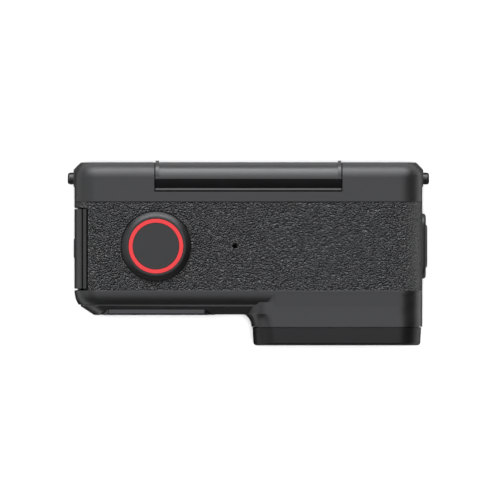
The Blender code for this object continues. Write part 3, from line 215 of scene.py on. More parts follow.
fit = 0.15 * mm  # the gap round a piece that sits in another
hair = 0.01 * mm  # too small to see; keeps two faces from meeting exactly
case_low, case_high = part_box("main_case")
top_edge = 4.7 * mm
base_edge = 3.2 * mm
hinge_radius = 3.4 * mm
hinge_y = case_high.y - hinge_radius
hinge_z = case_high.z - hinge_radius
rear_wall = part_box("screen_frame")[0].y - 0.3 * mm
case_middle = case_high.z / 2
far = 20 * mm

seam_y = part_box("front_case")[1].y
seam_edge = 0.08 * mm

case = block("case_shell", (case_low.x, seam_y, case_low.z), case_high)
round_edges(case, runs("Y", lambda m: m.z > case_middle), top_edge, 14)
round_edges(case, runs("Y", lambda m: m.z < case_middle and abs(m.x) > case_high.x - hair),
            base_edge, 8)
round_edges(case, lies("Y", case_high.y), hinge_radius - hair, 12)
round_edges(case, lies("Y", seam_y), seam_edge, 2)


def rod_on_hinge(name, radius, start_x, end_x, sides, rear=0.0):
    return rod(name, radius, (start_x, hinge_y + rear, hinge_z), (end_x, hinge_y + rear, hinge_z), sides)


screen_room = block("screen_room", (case_low.x - far, rear_wall, -far),
                    (case_high.x + far, case_high.y + far, hinge_z))
cut(screen_room, rod_on_hinge("shoulder_round", hinge_radius, case_low.x - 2 * far,
                              case_high.x + 2 * far, 96))
barrel_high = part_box("hinge_barrel")[1]
pocket = barrel_high.x + 0.25 * mm
pocket_radius = 4.3 * mm
opening_drop = 3.85 * mm
cut(case, screen_room,
    rod_on_hinge("hinge_pocket", pocket_radius, -pocket, pocket, 96),
    block("hinge_opening", (-pocket, rear_wall, hinge_z - opening_drop),
          (pocket, case_high.y + far, case_high.z + far)))

rear_pad_inset = 3 * mm
rear_pad_rise = 0.24 * mm
rear_pad = block("rear_pad", (case_low.x + rear_pad_inset, rear_wall - 0.5 * mm, 5 * mm),
                 (case_high.x - rear_pad_inset, rear_wall + rear_pad_rise, hinge_z - 7 * mm))
round_edges(rear_pad, runs("Y"), rear_pad_inset, 8)
weld(case, rear_pad)

wall = 1.6 * mm
bay_left = case_low.x + 4.9 * mm
cavity_rear = rear_wall - wall
cavity_step = hinge_z - pocket_radius - 1.2 * mm
cavity = block("cavity", (bay_left, case_low.y - far, 3.0 * mm),
               (case_high.x - wall, cavity_rear, cavity_step))
cavity_top = block("cavity_top", (bay_left, case_low.y - far, cavity_step - 1 * mm),
                   (case_high.x - wall, hinge_y - pocket_radius - 1.3 * mm, case_high.z - wall))
round_edges(cavity_top, runs("Y", lambda m: m.x > 0 and m.z > case_high.z - 2 * mm), 3.1 * mm, 6)
cut(case, cavity, cavity_top)

door_low, door_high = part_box("side_door")
door_thick = 1.7 * mm
door_gap = 0.25 * mm
arc_x = case_low.x + top_edge
arc_z = case_high.z - top_edge
door_reach = math.acos((arc_x - door_high.x) / (top_edge - door_thick))
rebate = block("door_rebate", (case_low.x - far, case_low.y - far, door_low.z - 0.3 * mm),
               (case_low.x + door_thick + door_gap, door_high.y + door_gap, arc_z))
pick_faces(rebate, "+Z")
bpy.ops.mesh.spin(steps=10, angle=door_reach + door_gap / (top_edge - door_thick),
                  center=(arc_x, 0, arc_z), axis=(0, -1, 0))
face_outwards()
door_axis = Vector((case_low.x + 0.95 * mm, 0, door_low.z + 1.0 * mm))
door_pin_hole = 0.65 * mm


def rod_on_door_pin(name, radius, front_y, rear_y, sides):
    return rod(name, radius, door_axis + Vector((0, front_y, 0)), door_axis + Vector((0, rear_y, 0)), sides)


bay_low = (case_low.x - far, door_low.y + 1.65 * mm, 4.2 * mm)
bay_high = (bay_left + 1 * mm, door_high.y - 1.4 * mm, case_high.z - 3.9 * mm)
bay = block("bay_mouth", bay_low, bay_high)
round_edges(bay, runs("X"), 1.2 * mm, 5)
cut(case, rebate,
    rod_on_door_pin("knuckle_room", 1.7 * mm, case_low.y - far, door_high.y + door_gap, 48), bay)

shutter_low, shutter_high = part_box("shutter_cap")
shutter_x = (shutter_low.x + shutter_high.x) / 2
shutter_y = (shutter_low.y + shutter_high.y) / 2
mic_low, mic_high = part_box("top_mic_mesh")
mic_x = (mic_low.x + mic_high.x) / 2
mic_y = (mic_low.y + mic_high.y) / 2
cut(case, rod("shutter_hole", 7.3 * mm, (shutter_x, shutter_y, case_high.z - 3 * mm),
              (shutter_x, shutter_y, case_high.z + far), 96),
    rod("mic_hole", 0.55 * mm, (mic_x, mic_y, case_high.z - 3 * mm),
        (mic_x, mic_y, case_high.z + far), 24))

bezel_low, bezel_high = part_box("power_bezel")
gap = Vector((0, fit, fit))
power_room = block("power_room", Vector((case_high.x - 3 * mm, bezel_low.y, bezel_low.z)) - gap,
                   Vector((case_high.x + far, bezel_high.y, bezel_high.z)) + gap)
round_edges(power_room, runs("X"), (bezel_high.z - bezel_low.z) / 2 + 0.14 * mm, 12)
cut(case, power_room)
slot_front, slot_rear = -1.6 * mm, 4.4 * mm
slot_foot, slot_pitch, slot_high = 11.0 * mm, 2.4 * mm, 0.9 * mm
for i in range(3):
    slot_z = slot_foot + i * slot_pitch
    slot = block("speaker_slot", (case_high.x - 3 * mm, slot_front, slot_z),
                 (case_high.x + far, slot_rear, slot_z + slot_high))
    round_edges(slot, runs("X"), 0.44 * mm, 5)
    cut(case, slot)

plate_low, plate_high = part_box("base_plate")
gap = Vector((fit, fit, 0))
plate_room = block("plate_room", Vector((plate_low.x, plate_low.y, -far)) - gap,
                   Vector((plate_high.x, plate_high.y, plate_high.z + fit)) + gap)
round_edges(plate_room, runs("Z"), 2.15 * mm, 8)
cut(case, plate_room)
for name in ("mount_magnet_left", "mount_magnet_right"):
    magnet_low, magnet_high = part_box(name)
    magnet = (magnet_low + magnet_high) / 2
    cut(case, rod("magnet_room", (magnet_high.x - magnet_low.x) / 2 + fit,
                  (magnet.x, magnet.y, -1 * mm), (magnet.x, magnet.y, magnet_high.z + fit), 32))
screw_head_hole = 1.65 * mm
screw_hole = 0.9 * mm
for i in range(4):
    screw_low, screw_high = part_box("rear_screw_%d" % (i + 1))
    screw = (screw_low + screw_high) / 2
    cut(case, rod("head_room", screw_head_hole, (screw.x, rear_wall - 1.0 * mm, screw.z),
                  (screw.x, rear_wall + 1 * mm, screw.z), 32),
        rod("shank_room", screw_hole, (screw.x, screw_low.y - 1 * mm, screw.z),
            (screw.x, rear_wall, screw.z), 16))
    screw_low, screw_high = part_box("base_screw_%d" % (i + 1))
    screw = (screw_low + screw_high) / 2
    cut(case, rod("thread_room", screw_hole, (screw.x, screw.y, -1 * mm),
                  (screw.x, screw.y, screw_high.z + 0.2 * mm), 16))
hinge_pin_hole = 0.95 * mm
for side in (-1, 1):
    cut(case, rod_on_hinge("pin_room", hinge_pin_hole, side * barrel_high.x,
                           side * (barrel_high.x + 3.8 * mm), 24))
cut(case, rod_on_door_pin("door_pin_room", door_pin_hole, door_high.y - 1 * mm, door_high.y + 2 * mm, 24))
smooth(case)


def shader_of(surface):
    return surface.node_tree.nodes["Principled BSDF"]


def new_surface(name, colour, roughness, metallic=0.0):
    """A Principled material, its plain values on the shader's own sockets."""
    surface = bpy.data.materials.new(name)
    surface.use_nodes = True
    shader = shader_of(surface)
    shader.inputs["Base Color"].default_value = (*colour, 1)
    shader.inputs["Roughness"].default_value = roughness
    shader.inputs["Metallic"].default_value = metallic
    return surface


def shine(surface, level):
    """Sets how strongly a surface reflects; plain plastic is at 0.5."""
    shader_of(surface).inputs["Specular IOR Level"].default_value = level


def node(surface, kind, **settings):
    made = surface.node_tree.nodes.new(kind)
    for key, value in settings.items():
        setattr(made, key, value)
    return made


def wire(surface, source, target, output=0):
    """Links a node's output to a socket; a target is (node, input)."""
    surface.node_tree.links.new(source.outputs[output], target[0].inputs[target[1]])


def noise(surface, place, scale, detail, output=3):
    """Cloudy noise on the object's own coordinates, or on another node's output."""
    cloud = node(surface, "ShaderNodeTexNoise")
    cloud.inputs["Scale"].default_value = scale
    cloud.inputs["Detail"].default_value = detail
    wire(surface, place, (cloud, "Vector"), output)
    return cloud


def between(surface, source, low, high, start=0.0, end=1.0, output=0):
    """Turns a value that runs from start to end into one that runs from low to high."""
    reach = node(surface, "ShaderNodeMapRange")
    reach.inputs["From Min"].default_value = start
    reach.inputs["From Max"].default_value = end
    reach.inputs["To Min"].default_value = low
    reach.inputs["To Max"].default_value = high
    wire(surface, source, (reach, "Value"), output)
    return reach


def two_tone(surface, source, first, second, start=0.0, end=1.0):
    """Blends the base colour from one tone to another as the source goes from start to end."""
    ramp = node(surface, "ShaderNodeValToRGB")
    ramp.color_ramp.elements[0].position = start
    ramp.color_ramp.elements[0].color = (*first, 1)
    ramp.color_ramp.elements[1].position = end
    ramp.color_ramp.elements[1].color = (*second, 1)
    wire(surface, source, (ramp, 0))
    wire(surface, ramp, (shader_of(surface), "Base Color"))


def emboss(surface, source, depth, output=0):
    """Raises a pattern on the surface; returns the bump node."""
    bump = node(surface, "ShaderNodeBump")
    bump.inputs["Distance"].default_value = depth
    wire(surface, source, (bump, "Height"), output)
    wire(surface, bump, (shader_of(surface), "Normal"))
    return bump


def tint(surface, colour, spread, scale):
    """Lets the colour and the roughness wander a little, as a moulding's do."""
    place = node(surface, "ShaderNodeTexCoord")
    cloud = noise(surface, place, scale, 4)
    two_tone(surface, cloud, [c * (1 - spread) for c in colour], [c * (1 + spread) for c in colour],
             0.3, 0.7)
    level = shader_of(surface).inputs["Roughness"].default_value
    wire(surface, between(surface, cloud, level - 0.05, level + 0.05),
         (shader_of(surface), "Roughness"))
    return place


def spark_eroded(surface, place, size, depth):
    """The fine even bump that a spark-eroded mould leaves; returns the bump node."""
    return emboss(surface, noise(surface, place, 1 / size, 2), depth)


black = (0.0036, 0.0036, 0.0039)


def grained_black():
    """Black plastic with leather grain in front of the smooth rear band."""
    band_front, band_rear = 10.35 * mm, 10.55 * mm
    surface = new_surface("grained_black", black, 0.46)
    place = tint(surface, black, 0.08, 260)
    bump = spark_eroded(surface, place, 0.16 * mm, 0.006 * mm)
    stretch = node(surface, "ShaderNodeMapping")
    stretch.inputs["Scale"].default_value = (0.72, 1.0, 1.0)
    wire(surface, place, (stretch, "Vector"), 3)
    push = node(surface, "ShaderNodeVectorMath", operation="MULTIPLY_ADD")
    push.inputs[1].default_value = (0.25 * mm, 0.25 * mm, 0.25 * mm)
    wire(surface, noise(surface, stretch, 1500, 1, 0), (push, 0), 1)
    wire(surface, stretch, (push, 2))
    cells = node(surface, "ShaderNodeTexVoronoi", feature="SMOOTH_F1")
    cells.inputs["Scale"].default_value = 3400
    cells.inputs["Smoothness"].default_value = 0.25
    wire(surface, push, (cells, "Vector"))
    parts = node(surface, "ShaderNodeSeparateXYZ")
    wire(surface, place, (parts, 0), 3)
    grained_area = between(surface, parts, 0.0, 1.0, band_rear, band_front, 1)
    shader = shader_of(surface)
    rough = shader.inputs["Roughness"].links[0].from_node
    tighter = node(surface, "ShaderNodeMath", operation="MULTIPLY_ADD")
    tighter.inputs[1].default_value = -0.04
    wire(surface, grained_area, (tighter, 0))
    wire(surface, rough, (tighter, 2))
    wire(surface, tighter, (shader, "Roughness"))
    height = node(surface, "ShaderNodeMath", operation="MULTIPLY")
    wire(surface, cells, (height, 0))
    wire(surface, grained_area, (height, 1))
    grain = node(surface, "ShaderNodeBump", invert=True)
    grain.inputs["Distance"].default_value = 0.42 * mm
    grain.inputs["Strength"].default_value = 1.0
    wire(surface, height, (grain, "Height"))
    wire(surface, grain, (bump, "Normal"))
    return surface


grained = grained_black()
wear(case, grained, "camera", "grained_plastic", "main_case")


# Front case. A smooth black moulding closes the body's front; the square lens housing rises from it
# with a hollow fillet on its left and underside. Its rear face meets the main case in a fine seam.
def stretch_back(piece, y, grow=(1, 1, 1), about=(0, 0, 0)):
    """Draws the picked face back to a depth, and grows it about a point."""
    here = max(point.co.y for point in piece.data.vertices)
    draw_out((0, y - here, 0), grow, about)
    object_mode()
    edit_mode()


first_step = 0.1 * mm
front_low, front_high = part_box("front_case")
display_low, display_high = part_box("front_display")
face_front = -10.6 * mm
front_radius = 5.5 * mm
front_wall = 1.5 * mm
front_steps = 14
front = block("front_shell", (front_low.x, front_high.y - first_step, 0), front_high)
round_edges(front, runs("Y", lambda m: m.z > case_middle), top_edge, 14)
round_edges(front, runs("Y", lambda m: m.z < case_middle and abs(m.x) > front_high.x - hair),
            base_edge, 10)
pick_faces(front, "-Y")
half_wide = front_high.x
half_high = front_high.z / 2
inset_before = 0.0
for i in range(1, front_steps + 1):
    forward = (front_high.y - face_front) * i / front_steps
    inset = front_radius - math.sqrt(front_radius ** 2 - forward ** 2)
    thrust = (front_high.y - face_front) / front_steps - (first_step if i == 1 else 0)
    draw_out((0, -thrust, 0), ((half_wide - inset) / (half_wide - inset_before), 1,
                               (half_high - inset) / (half_high - inset_before)), (0, 0, half_high))
    inset_before = inset
object_mode()
round_edges(front, lies("Y", seam_y), seam_edge, 2)

housing_front = front_low.y
housing_side = 35.1 * mm
housing_high = 35.0 * mm
housing_radius = 5.0 * mm
housing_corner = Vector((front_high.x, 0, front_high.z - 0.2 * mm))
housing_left = housing_corner.x - housing_side
housing_foot = housing_corner.z - housing_high
lens_x = front_high.x - housing_side / 2
lens_z = housing_corner.z - housing_high / 2
flare_radius = 3.0 * mm
flare_turn = math.radians(65)
flare_steps = 10
flare_start = 0.12 * mm
root_drop = 0.02 * mm
housing = block("housing", (housing_left, housing_front, housing_foot),
                (front_high.x, housing_front + flare_start, housing_corner.z))
round_edges(housing, runs("Y"), housing_radius, 14)
pick_faces(housing, "+Y")
size_before = 0.0
for i in range(1, flare_steps + 1):
    angle = flare_turn * i / flare_steps
    grown = flare_radius * (1 - math.cos(angle))
    ratio_x = (housing_side + grown) / (housing_side + size_before)
    ratio_z = (housing_high + grown) / (housing_high + size_before)
    stretch_back(housing, housing_front + flare_start + (flare_radius - flare_start) * math.sin(angle),
                 (ratio_x, 1, ratio_z), housing_corner)
    size_before = grown
stretch_back(housing, face_front + 0.5 * mm)
object_mode()
root = block("housing_root", (housing_left, face_front - 0.4 * mm, housing_foot),
             (front_high.x, front_high.y - first_step, front_high.z - root_drop))
round_edges(root, runs("Y"), housing_radius, 14)
move_face(root, "-Y", (0, 0, housing_corner.z - front_high.z + root_drop))
pick(housing)
bpy.ops.object.duplicate()
panel_scoop = bpy.context.object
weld(front, root, housing)

room = block("front_room", (front_low.x + 1.9 * mm, face_front + front_wall, 3.0 * mm),
             (front_high.x - wall, front_high.y + far, front_high.z - wall))
round_edges(room, runs("Y"), top_edge - wall, 6)
housing_wall = 1.8 * mm
housing_room = block("housing_room", (housing_left + housing_wall, housing_front + wall,
                                      housing_foot + housing_wall),
                     (front_high.x - housing_wall, front_high.y + far, front_high.z - wall - 0.2 * mm))
round_edges(housing_room, runs("Y"), 3.2 * mm, 6)
pad_inset = 0.7 * mm
pad_rise = 0.12 * mm
guard_pad = block("guard_pad", (housing_left + pad_inset, housing_front - pad_rise,
                                housing_foot + pad_inset),
                  (front_high.x - pad_inset, housing_front + 0.5 * mm, housing_corner.z - pad_inset))
round_edges(guard_pad, runs("Y"), housing_radius - pad_inset, 10)
weld(front, guard_pad)
cut(front, room, housing_room,
    rod("lens_hole", 12.9 * mm, (lens_x, housing_front - far, lens_z),
        (lens_x, housing_front + 4 * mm, lens_z), 96),
    block("display_room", (display_low.x - fit, face_front - far, display_low.z - fit),
          (display_high.x + fit, face_front + far, display_high.z + fit)))
smooth(front)


def satin_black(name, roughness=0.42, pits=0.22 * mm, depth=0.007 * mm):
    """Smooth moulded black plastic with a fine eroded bump."""
    surface = new_surface(name, black, roughness)
    place = tint(surface, black, 0.07, 300)
    spark_eroded(surface, place, pits, depth)
    return surface


front_black = satin_black("front_black", 0.37)
wear(front, front_black, "camera", "front_plastic", "front_case")


# Front panel. A raised plate clipped to the front case, with leaning sides, cooling grooves below the
# display and a window for the display's glass. Same satin black plastic as the case.
panel_low, panel_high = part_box("front_panel")
glass_low, glass_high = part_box("front_display_glass")
panel_front = panel_low.y
panel_foot = 0.05 * mm
side_lean = 5.5 * mm
end_lean = 2.4 * mm
panel = block("front_plate", panel_low, panel_high)
move_face(panel, "-Y", (0, panel_high.y - panel_front - panel_foot, 0))
round_edges(panel, runs("Y"), 3.6 * mm, 12)
panel_middle = (panel_low + panel_high) / 2
lean = Vector((1 - side_lean / (panel_high.x - panel_low.x), 1,
               1 - end_lean / (panel_high.z - panel_low.z)))
pick_faces(panel, "-Y")
draw_out((0, panel_front - panel_high.y + panel_foot, 0), lean, panel_middle)
object_mode()
round_edges(panel, lies("Y", panel_front), 0.2 * mm, 3, clamp=False)
move_face(panel, "+Y", (0, face_front - panel_high.y, 0))

window_side = 0.5 * mm
window = block("glass_window", glass_low - Vector((window_side, far, fit)),
               glass_high + Vector((window_side, fit, fit)))
round_edges(window, runs("Y"), 1.9 * mm, 8)
valley_radius = 53 * mm
valley_x = -1 * mm
valley_y = panel_front + 0.4 * mm - valley_radius
valley = rod("valley", valley_radius, (valley_x, valley_y, 12 * mm),
             (valley_x, valley_y, case_high.z + far), 720)
cut(panel, panel_scoop, window, valley,
    block("display_room", (display_low.x - fit, panel_front - far, display_low.z - fit),
          (display_high.x + fit, panel_high.y + far, display_high.z + fit)))
groove_reach = panel_high.x - side_lean / 2 - 1.2 * mm
groove_foot, groove_pitch, groove_size = 6.4 * mm, 1.8 * mm, 0.7 * mm
for i in range(5):
    groove_z = groove_foot + i * groove_pitch
    groove = block("cooling_groove", (-groove_reach, panel_front - far, groove_z),
                   (groove_reach, panel_front + groove_size, groove_z + groove_size))
    round_edges(groove, runs("X", lambda m: m.y > panel_front), 0.3 * mm, 4)
    cut(panel, groove)
smooth(panel, soften=0.06 * mm)
wear(panel, front_black, "camera", "front_plastic", "front_panel")


# Front display. A square of black-backed glass with ground edges, glued into the panel's window over
# a small colour display. The display's lit area is a dark mirror when the camera is off.
glass = block("front_glass", glass_low, glass_high)
round_edges(glass, runs("Y"), 1.75 * mm, 12)
round_edges(glass, lies("Y", glass_low.y), 0.42 * mm, 4)
smooth(glass)


def black_glass(name):
    """Glass with black ink behind it, with faint smears on its face."""
    surface = new_surface(name, (0.004, 0.004, 0.005), 0.05)
    shader = shader_of(surface)
    shader.inputs["IOR"].default_value = 1.52
    smears = noise(surface, node(surface, "ShaderNodeTexCoord"), 140, 5)
    smears.inputs["Distortion"].default_value = 1.4
    wire(surface, between(surface, smears, 0.035, 0.13, 0.42, 0.75), (shader, "Roughness"))
    two_tone(surface, smears, (0.003, 0.003, 0.004), (0.006, 0.006, 0.007))
    return surface


display_black = black_glass("display_black")
wear(glass, display_black, "camera", "gloss_glass", "front_display_glass")


# Lens guard. A square black frame with a round glass in it; it turns an eighth of a turn on its short
# tube to come off. Moulded frame with a thin soft edge, flat coated glass, rubber seal behind it.
guard_low, guard_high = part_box("lens_guard_frame")
guard_rear = housing_front - fit
guard_front = guard_low.y
guard = block("guard_frame", (guard_low.x, guard_front, guard_low.z),
              (guard_high.x, guard_rear, guard_high.z))
round_edges(guard, runs("Y"), housing_radius, 14)
pick_faces(guard, "-Y")
guard_taper = 34.2 / 34.6
bpy.ops.transform.resize(value=(guard_taper, 1, guard_taper),
                         center_override=(lens_x, guard_front, lens_z))
object_mode()
round_edges(guard, lies("Y", guard_front), 0.6 * mm, 6)
round_edges(guard, lies("Y", guard_rear), 0.12 * mm, 2)


def rod_on_lens(name, radius, front_y, rear_y, sides=96):
    return rod(name, radius, (lens_x, front_y, lens_z), (lens_x, rear_y, lens_z), sides)


weld(guard, rod_on_lens("guard_tube", 12.6 * mm, guard_rear - 0.5 * mm, guard_rear + 1.4 * mm))
guard_glass_low, guard_glass_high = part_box("lens_guard_glass")
seal_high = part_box("lens_guard_seal")[1]
cut(guard, rod_on_lens("glass_seat", 14.15 * mm, guard_front - far, seal_high.y + fit),
    rod_on_lens("guard_bore", 11.4 * mm, guard_front - far, guard_rear + far))
smooth(guard, soften=0.08 * mm)
guard_black = satin_black("guard_black", 0.38)
shine(guard_black, 0.22)
wear(guard, guard_black, "guard", "front_plastic", "lens_guard_frame")

guard_glass = rod_on_lens("guard_glass", 14.0 * mm, guard_glass_low.y, guard_glass_high.y, 128)
round_edges(guard_glass, lies("Y", guard_glass_low.y), 0.2 * mm, 3)
smooth(guard_glass)


def coated_glass(name, hue, roughness=0.02):
    """Clear optical glass; its coating tints what it reflects."""
    surface = new_surface(name, (1.0, 1.0, 1.0), roughness)
    shader = shader_of(surface)
    shader.inputs["Transmission Weight"].default_value = 1.0
    shader.inputs["IOR"].default_value = 1.5
    shader.inputs["Specular Tint"].default_value = (*hue, 1)
    dust = noise(surface, node(surface, "ShaderNodeTexCoord"), 220, 5)
    wire(surface, between(surface, dust, roughness, roughness + 0.05, 0.45, 0.8), (shader, "Roughness"))
    two_tone(surface, dust, (0.93, 0.95, 0.97), (1.0, 1.0, 1.0))
    return surface


guard_coat = coated_glass("guard_coat", (0.75, 0.85, 1.0))
wear(guard_glass, guard_coat, "guard", "lens_glass", "lens_guard_glass")


# Lens. A black barrel stands in the housing behind the guard, with a stepped light trap, a domed front
# element with a violet coating, and a threaded ring that holds it.
tube_low, tube_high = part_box("lens_barrel")
seat = -9.3 * mm
lens_tube = rod_on_lens("lens_tube", 10.6 * mm, tube_low.y, -4.0 * mm, 128)
round_edges(lens_tube, lies("Y", tube_low.y), 0.25 * mm, 3)
weld(lens_tube, rod_on_lens("rear_tube", 7.4 * mm, -4.5 * mm, tube_high.y))
trap_mouth = 9.05 * mm
trap_throat = 7.65 * mm
cone = rod_on_lens("light_trap", trap_mouth, tube_low.y - hair, -12.6 * mm, 128)
pick_faces(cone, "+Y")
bpy.ops.transform.resize(value=(trap_throat / trap_mouth, 1, trap_throat / trap_mouth),
                         center_override=(lens_x, 0, lens_z))
object_mode()
cut(lens_tube, cone, rod_on_lens("element_room", trap_throat, tube_low.y - far, seat, 128),
    rod_on_lens("rear_room", 4.15 * mm, seat - 1 * mm, tube_high.y + far))
for i in range(3):
    step_radius = (8.75 - 0.35 * i) * mm
    step_y = tube_low.y + (0.42 + 0.5 * i) * mm
    cut(lens_tube, rod_on_lens("trap_step", step_radius, tube_low.y + 0.1 * mm, step_y, 128))
smooth(lens_tube, soften=0.04 * mm)
trap_black = satin_black("trap_black", 0.5, 0.12 * mm, 0.004 * mm)
wear(lens_tube, trap_black, "camera", "lens_plastic", "lens_barrel")

element_low, element_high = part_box("lens_front_element")
element_radius = 7.5 * mm
sphere = 24.0 * mm
rim_y = element_low.y + sphere - math.sqrt(sphere ** 2 - element_radius ** 2)
element = rod_on_lens("front_element", element_radius, element_low.y, element_high.y, 96)
pick_faces(element, "-Y")
bpy.ops.transform.translate(value=(0, rim_y - element_low.y, 0))
dome_steps = 8
ring_before = element_radius
depth_before = rim_y
for i in range(1, dome_steps + 1):
    ring = element_radius * (1 - i / (dome_steps + 0.15))
    depth = element_low.y + sphere - math.sqrt(sphere ** 2 - ring ** 2)
    draw_out((0, depth - depth_before, 0), (ring / ring_before, 1, ring / ring_before), (lens_x, 0, lens_z))
    ring_before, depth_before = ring, depth
object_mode()
smooth(element, 50)
element_coat = coated_glass("element_coat", (0.62, 0.5, 1.0), 0.01)
wear(element, element_coat, "camera", "lens_glass", "lens_front_element")


# Shutter button. A round cap moulded in black plastic, its rim sloping down into a round gap, with a
# red ring pressed into a groove in its face. A flange under the case's top holds it in.
cap_top = shutter_high.z
cap_foot = shutter_low.z


def rod_on_shutter(name, radius, low, high, sides=128):
    return rod(name, radius, (shutter_x, shutter_y, low), (shutter_x, shutter_y, high), sides)


cap_radius = 7.1 * mm
cap_face_radius = 6.12 * mm
cap_body = cap_foot + 0.3 * mm
cap_shoulder = case_high.z + 0.1 * mm
cap = rod_on_shutter("shutter_cap_disc", cap_radius, cap_body, cap_shoulder)
pick_faces(cap, "+Z")
draw_out((0, 0, cap_top - cap_shoulder), (cap_face_radius / cap_radius, cap_face_radius / cap_radius, 1),
         (shutter_x, shutter_y, 0))
object_mode()
round_edges(cap, lies("Z", cap_top), 0.26 * mm, 5)
round_edges(cap, lies("Z", cap_shoulder), 0.1 * mm, 2)
weld(cap, rod_on_shutter("cap_flange", 7.7 * mm, cap_body, case_high.z - wall - 0.3 * mm),
     rod_on_shutter("cap_stem", 1.5 * mm, cap_foot, cap_foot + 0.5 * mm, 32))
ring_outer, ring_inner = 5.6 * mm, 4.8 * mm
ring_groove = rod_on_shutter("ring_groove", ring_outer + 0.1 * mm, cap_top - 0.5 * mm, cap_top + far)
cut(ring_groove, rod_on_shutter("groove_core", ring_inner - 0.1 * mm, cap_top - 1 * mm,
                                cap_top + 2 * far))
cut(cap, ring_groove)
smooth(cap, 40)


def turned_black():
    """Black plastic with a soft silky face, a little lighter than the case."""
    tone = (0.0042, 0.0042, 0.0045)
    surface = new_surface("turned_black", tone, 0.43)
    shine(surface, 0.4)
    place = tint(surface, tone, 0.06, 320)
    spark_eroded(surface, place, 0.18 * mm, 0.004 * mm)
    return surface


wear(cap, turned_black(), "shutter", "button_plastic", "shutter_cap")

ring_low, ring_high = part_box("shutter_ring")
red_ring = rod_on_shutter("red_ring", ring_outer, ring_low.z, ring_high.z)
cut(red_ring, rod_on_shutter("ring_core", ring_inner, ring_low.z - 1 * mm, ring_high.z + 1 * mm))
round_edges(red_ring, lies("Z", ring_high.z), 0.08 * mm, 3)
smooth(red_ring, 40)
red = (0.53, 0.006, 0.009)
red_enamel = new_surface("red_enamel", red, 0.35)
tint(red_enamel, red, 0.04, 500)
wear(red_ring, red_enamel, "shutter", "red_plastic", "shutter_ring")


# Power button. A long bezel of moulded black plastic is pressed into the right side and stands a little
# out of it. The long rounded cap inside is the same plastic, and the switch behind it springs it back.
power_low, power_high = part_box("power_cap")
bezel = block("power_rim", bezel_low, bezel_high)
rise = (bezel_high.z - bezel_low.z) / 2
round_edges(bezel, runs("X"), rise - 0.05 * mm, 16)
round_edges(bezel, lies("X", bezel_high.x), 0.6 * mm, 6, clamp=False)
gap = Vector((0, fit, fit))
reach = Vector((far, 0, 0))
cap_room = block("cap_room", power_low - gap - reach, power_high + gap + reach)
cap_rise = (power_high.z - power_low.z) / 2
round_edges(cap_room, runs("X"), cap_rise + 0.1 * mm, 14)
cut(bezel, cap_room)
smooth(bezel, soften=0.05 * mm)
button_black = satin_black("button_black", 0.4, 0.18 * mm, 0.004 * mm)
wear(bezel, button_black, "camera", "button_plastic", "power_bezel")

power = block("power_key", power_low, power_high)
round_edges(power, runs("X"), cap_rise - 0.05 * mm, 14)
round_edges(power, lies("X", power_high.x), 0.55 * mm, 6, clamp=False)
smooth(power)
wear(power, button_black, "power", "button_plastic", "power_cap")


# Side door. A smooth black moulding that follows the body's side and the start of its rounded top; it
# swings down on a steel pin. A fine step along its top edge keeps water out of the gap.
def door_section(name, outer, inner, front_y, rear_y, foot, reach):
    """A bent slab: straight up the side, then round with the body's top edge."""
    slab = block(name, (arc_x - outer, front_y, foot), (arc_x - inner, rear_y, arc_z))
    pick_faces(slab, "+Z")
    bpy.ops.mesh.spin(steps=14, angle=reach, center=(arc_x, 0, arc_z), axis=(0, -1, 0))
    bpy.ops.mesh.select_all(action="SELECT")
    bpy.ops.mesh.remove_doubles(threshold=0.001 * mm)
    face_outwards()
    return slab


door = door_section("door_shell", top_edge, top_edge - door_thick, door_low.y, door_high.y,
                    door_low.z + 0.4 * mm, door_reach)
latch_low, latch_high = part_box("door_latch")
latch_room = block("latch_room", (case_low.x - far, latch_low.y - fit, latch_low.z - 3.15 * mm),
                   (latch_high.x + fit, latch_high.y + fit, latch_high.z + fit))
round_edges(latch_room, runs("X"), 0.5 * mm, 5)
step_groove = door_section("step_groove", top_edge + 1 * mm, top_edge - 0.42 * mm, door_low.y - far,
                           door_high.y + far, arc_z - 1 * mm, door_reach)
step_start, step_end = math.radians(47), math.radians(52)
cut(step_groove, door_section("step_outer", top_edge + 2 * mm, top_edge - 3 * mm, door_low.y - 2 * far,
                              door_high.y + 2 * far, arc_z - 2 * mm, step_start),
    block("step_inner", (arc_x - top_edge * math.cos(step_end), door_low.y - 2 * far, arc_z),
          (arc_x, door_high.y + 2 * far, arc_z + far)))
cut(door, latch_room, step_groove)
weld(door, rod_on_door_pin("door_knuckle", 1.25 * mm, door_low.y + hair, door_high.y - hair, 48))
cut(door, rod_on_door_pin("knuckle_bore", door_pin_hole, door_low.y - 1 * mm, door_high.y + 1 * mm, 24))
smooth(door, soften=0.09 * mm)
door_black = satin_black("door_black", 0.43)
wear(door, door_black, "door", "front_plastic", "side_door")

latch = block("latch_key", latch_low, latch_high)
round_edges(latch, runs("X"), 0.4 * mm, 5)
round_edges(latch, lies("X", latch_low.x), 0.14 * mm, 3)
rib_foot, rib_pitch = 1.5 * mm, 1.4 * mm
for i in range(4):
    rib_z = latch_low.z + rib_foot + i * rib_pitch
    rib_gap = block("rib_gap", (latch_low.x - far, latch_low.y + 0.4 * mm, rib_z),
                    (latch_low.x + 0.42 * mm, latch_high.y - 0.4 * mm, rib_z + 0.6 * mm))
    round_edges(rib_gap, runs("X"), 0.25 * mm, 4)
    cut(latch, rib_gap)
smooth(latch, soften=0.04 * mm)


def soft_rubber(name, colour=(0.014, 0.014, 0.0145), roughness=0.62):
    """Moulded silicone rubber: dull, with a fine bump and a trace of dust in it."""
    surface = new_surface(name, colour, roughness)
    place = tint(surface, colour, 0.16, 700)
    spark_eroded(surface, place, 0.09 * mm, 0.005 * mm)
    return surface


rubber = soft_rubber("black_rubber")
wear(latch, rubber, "latch", "rubber", "door_latch")


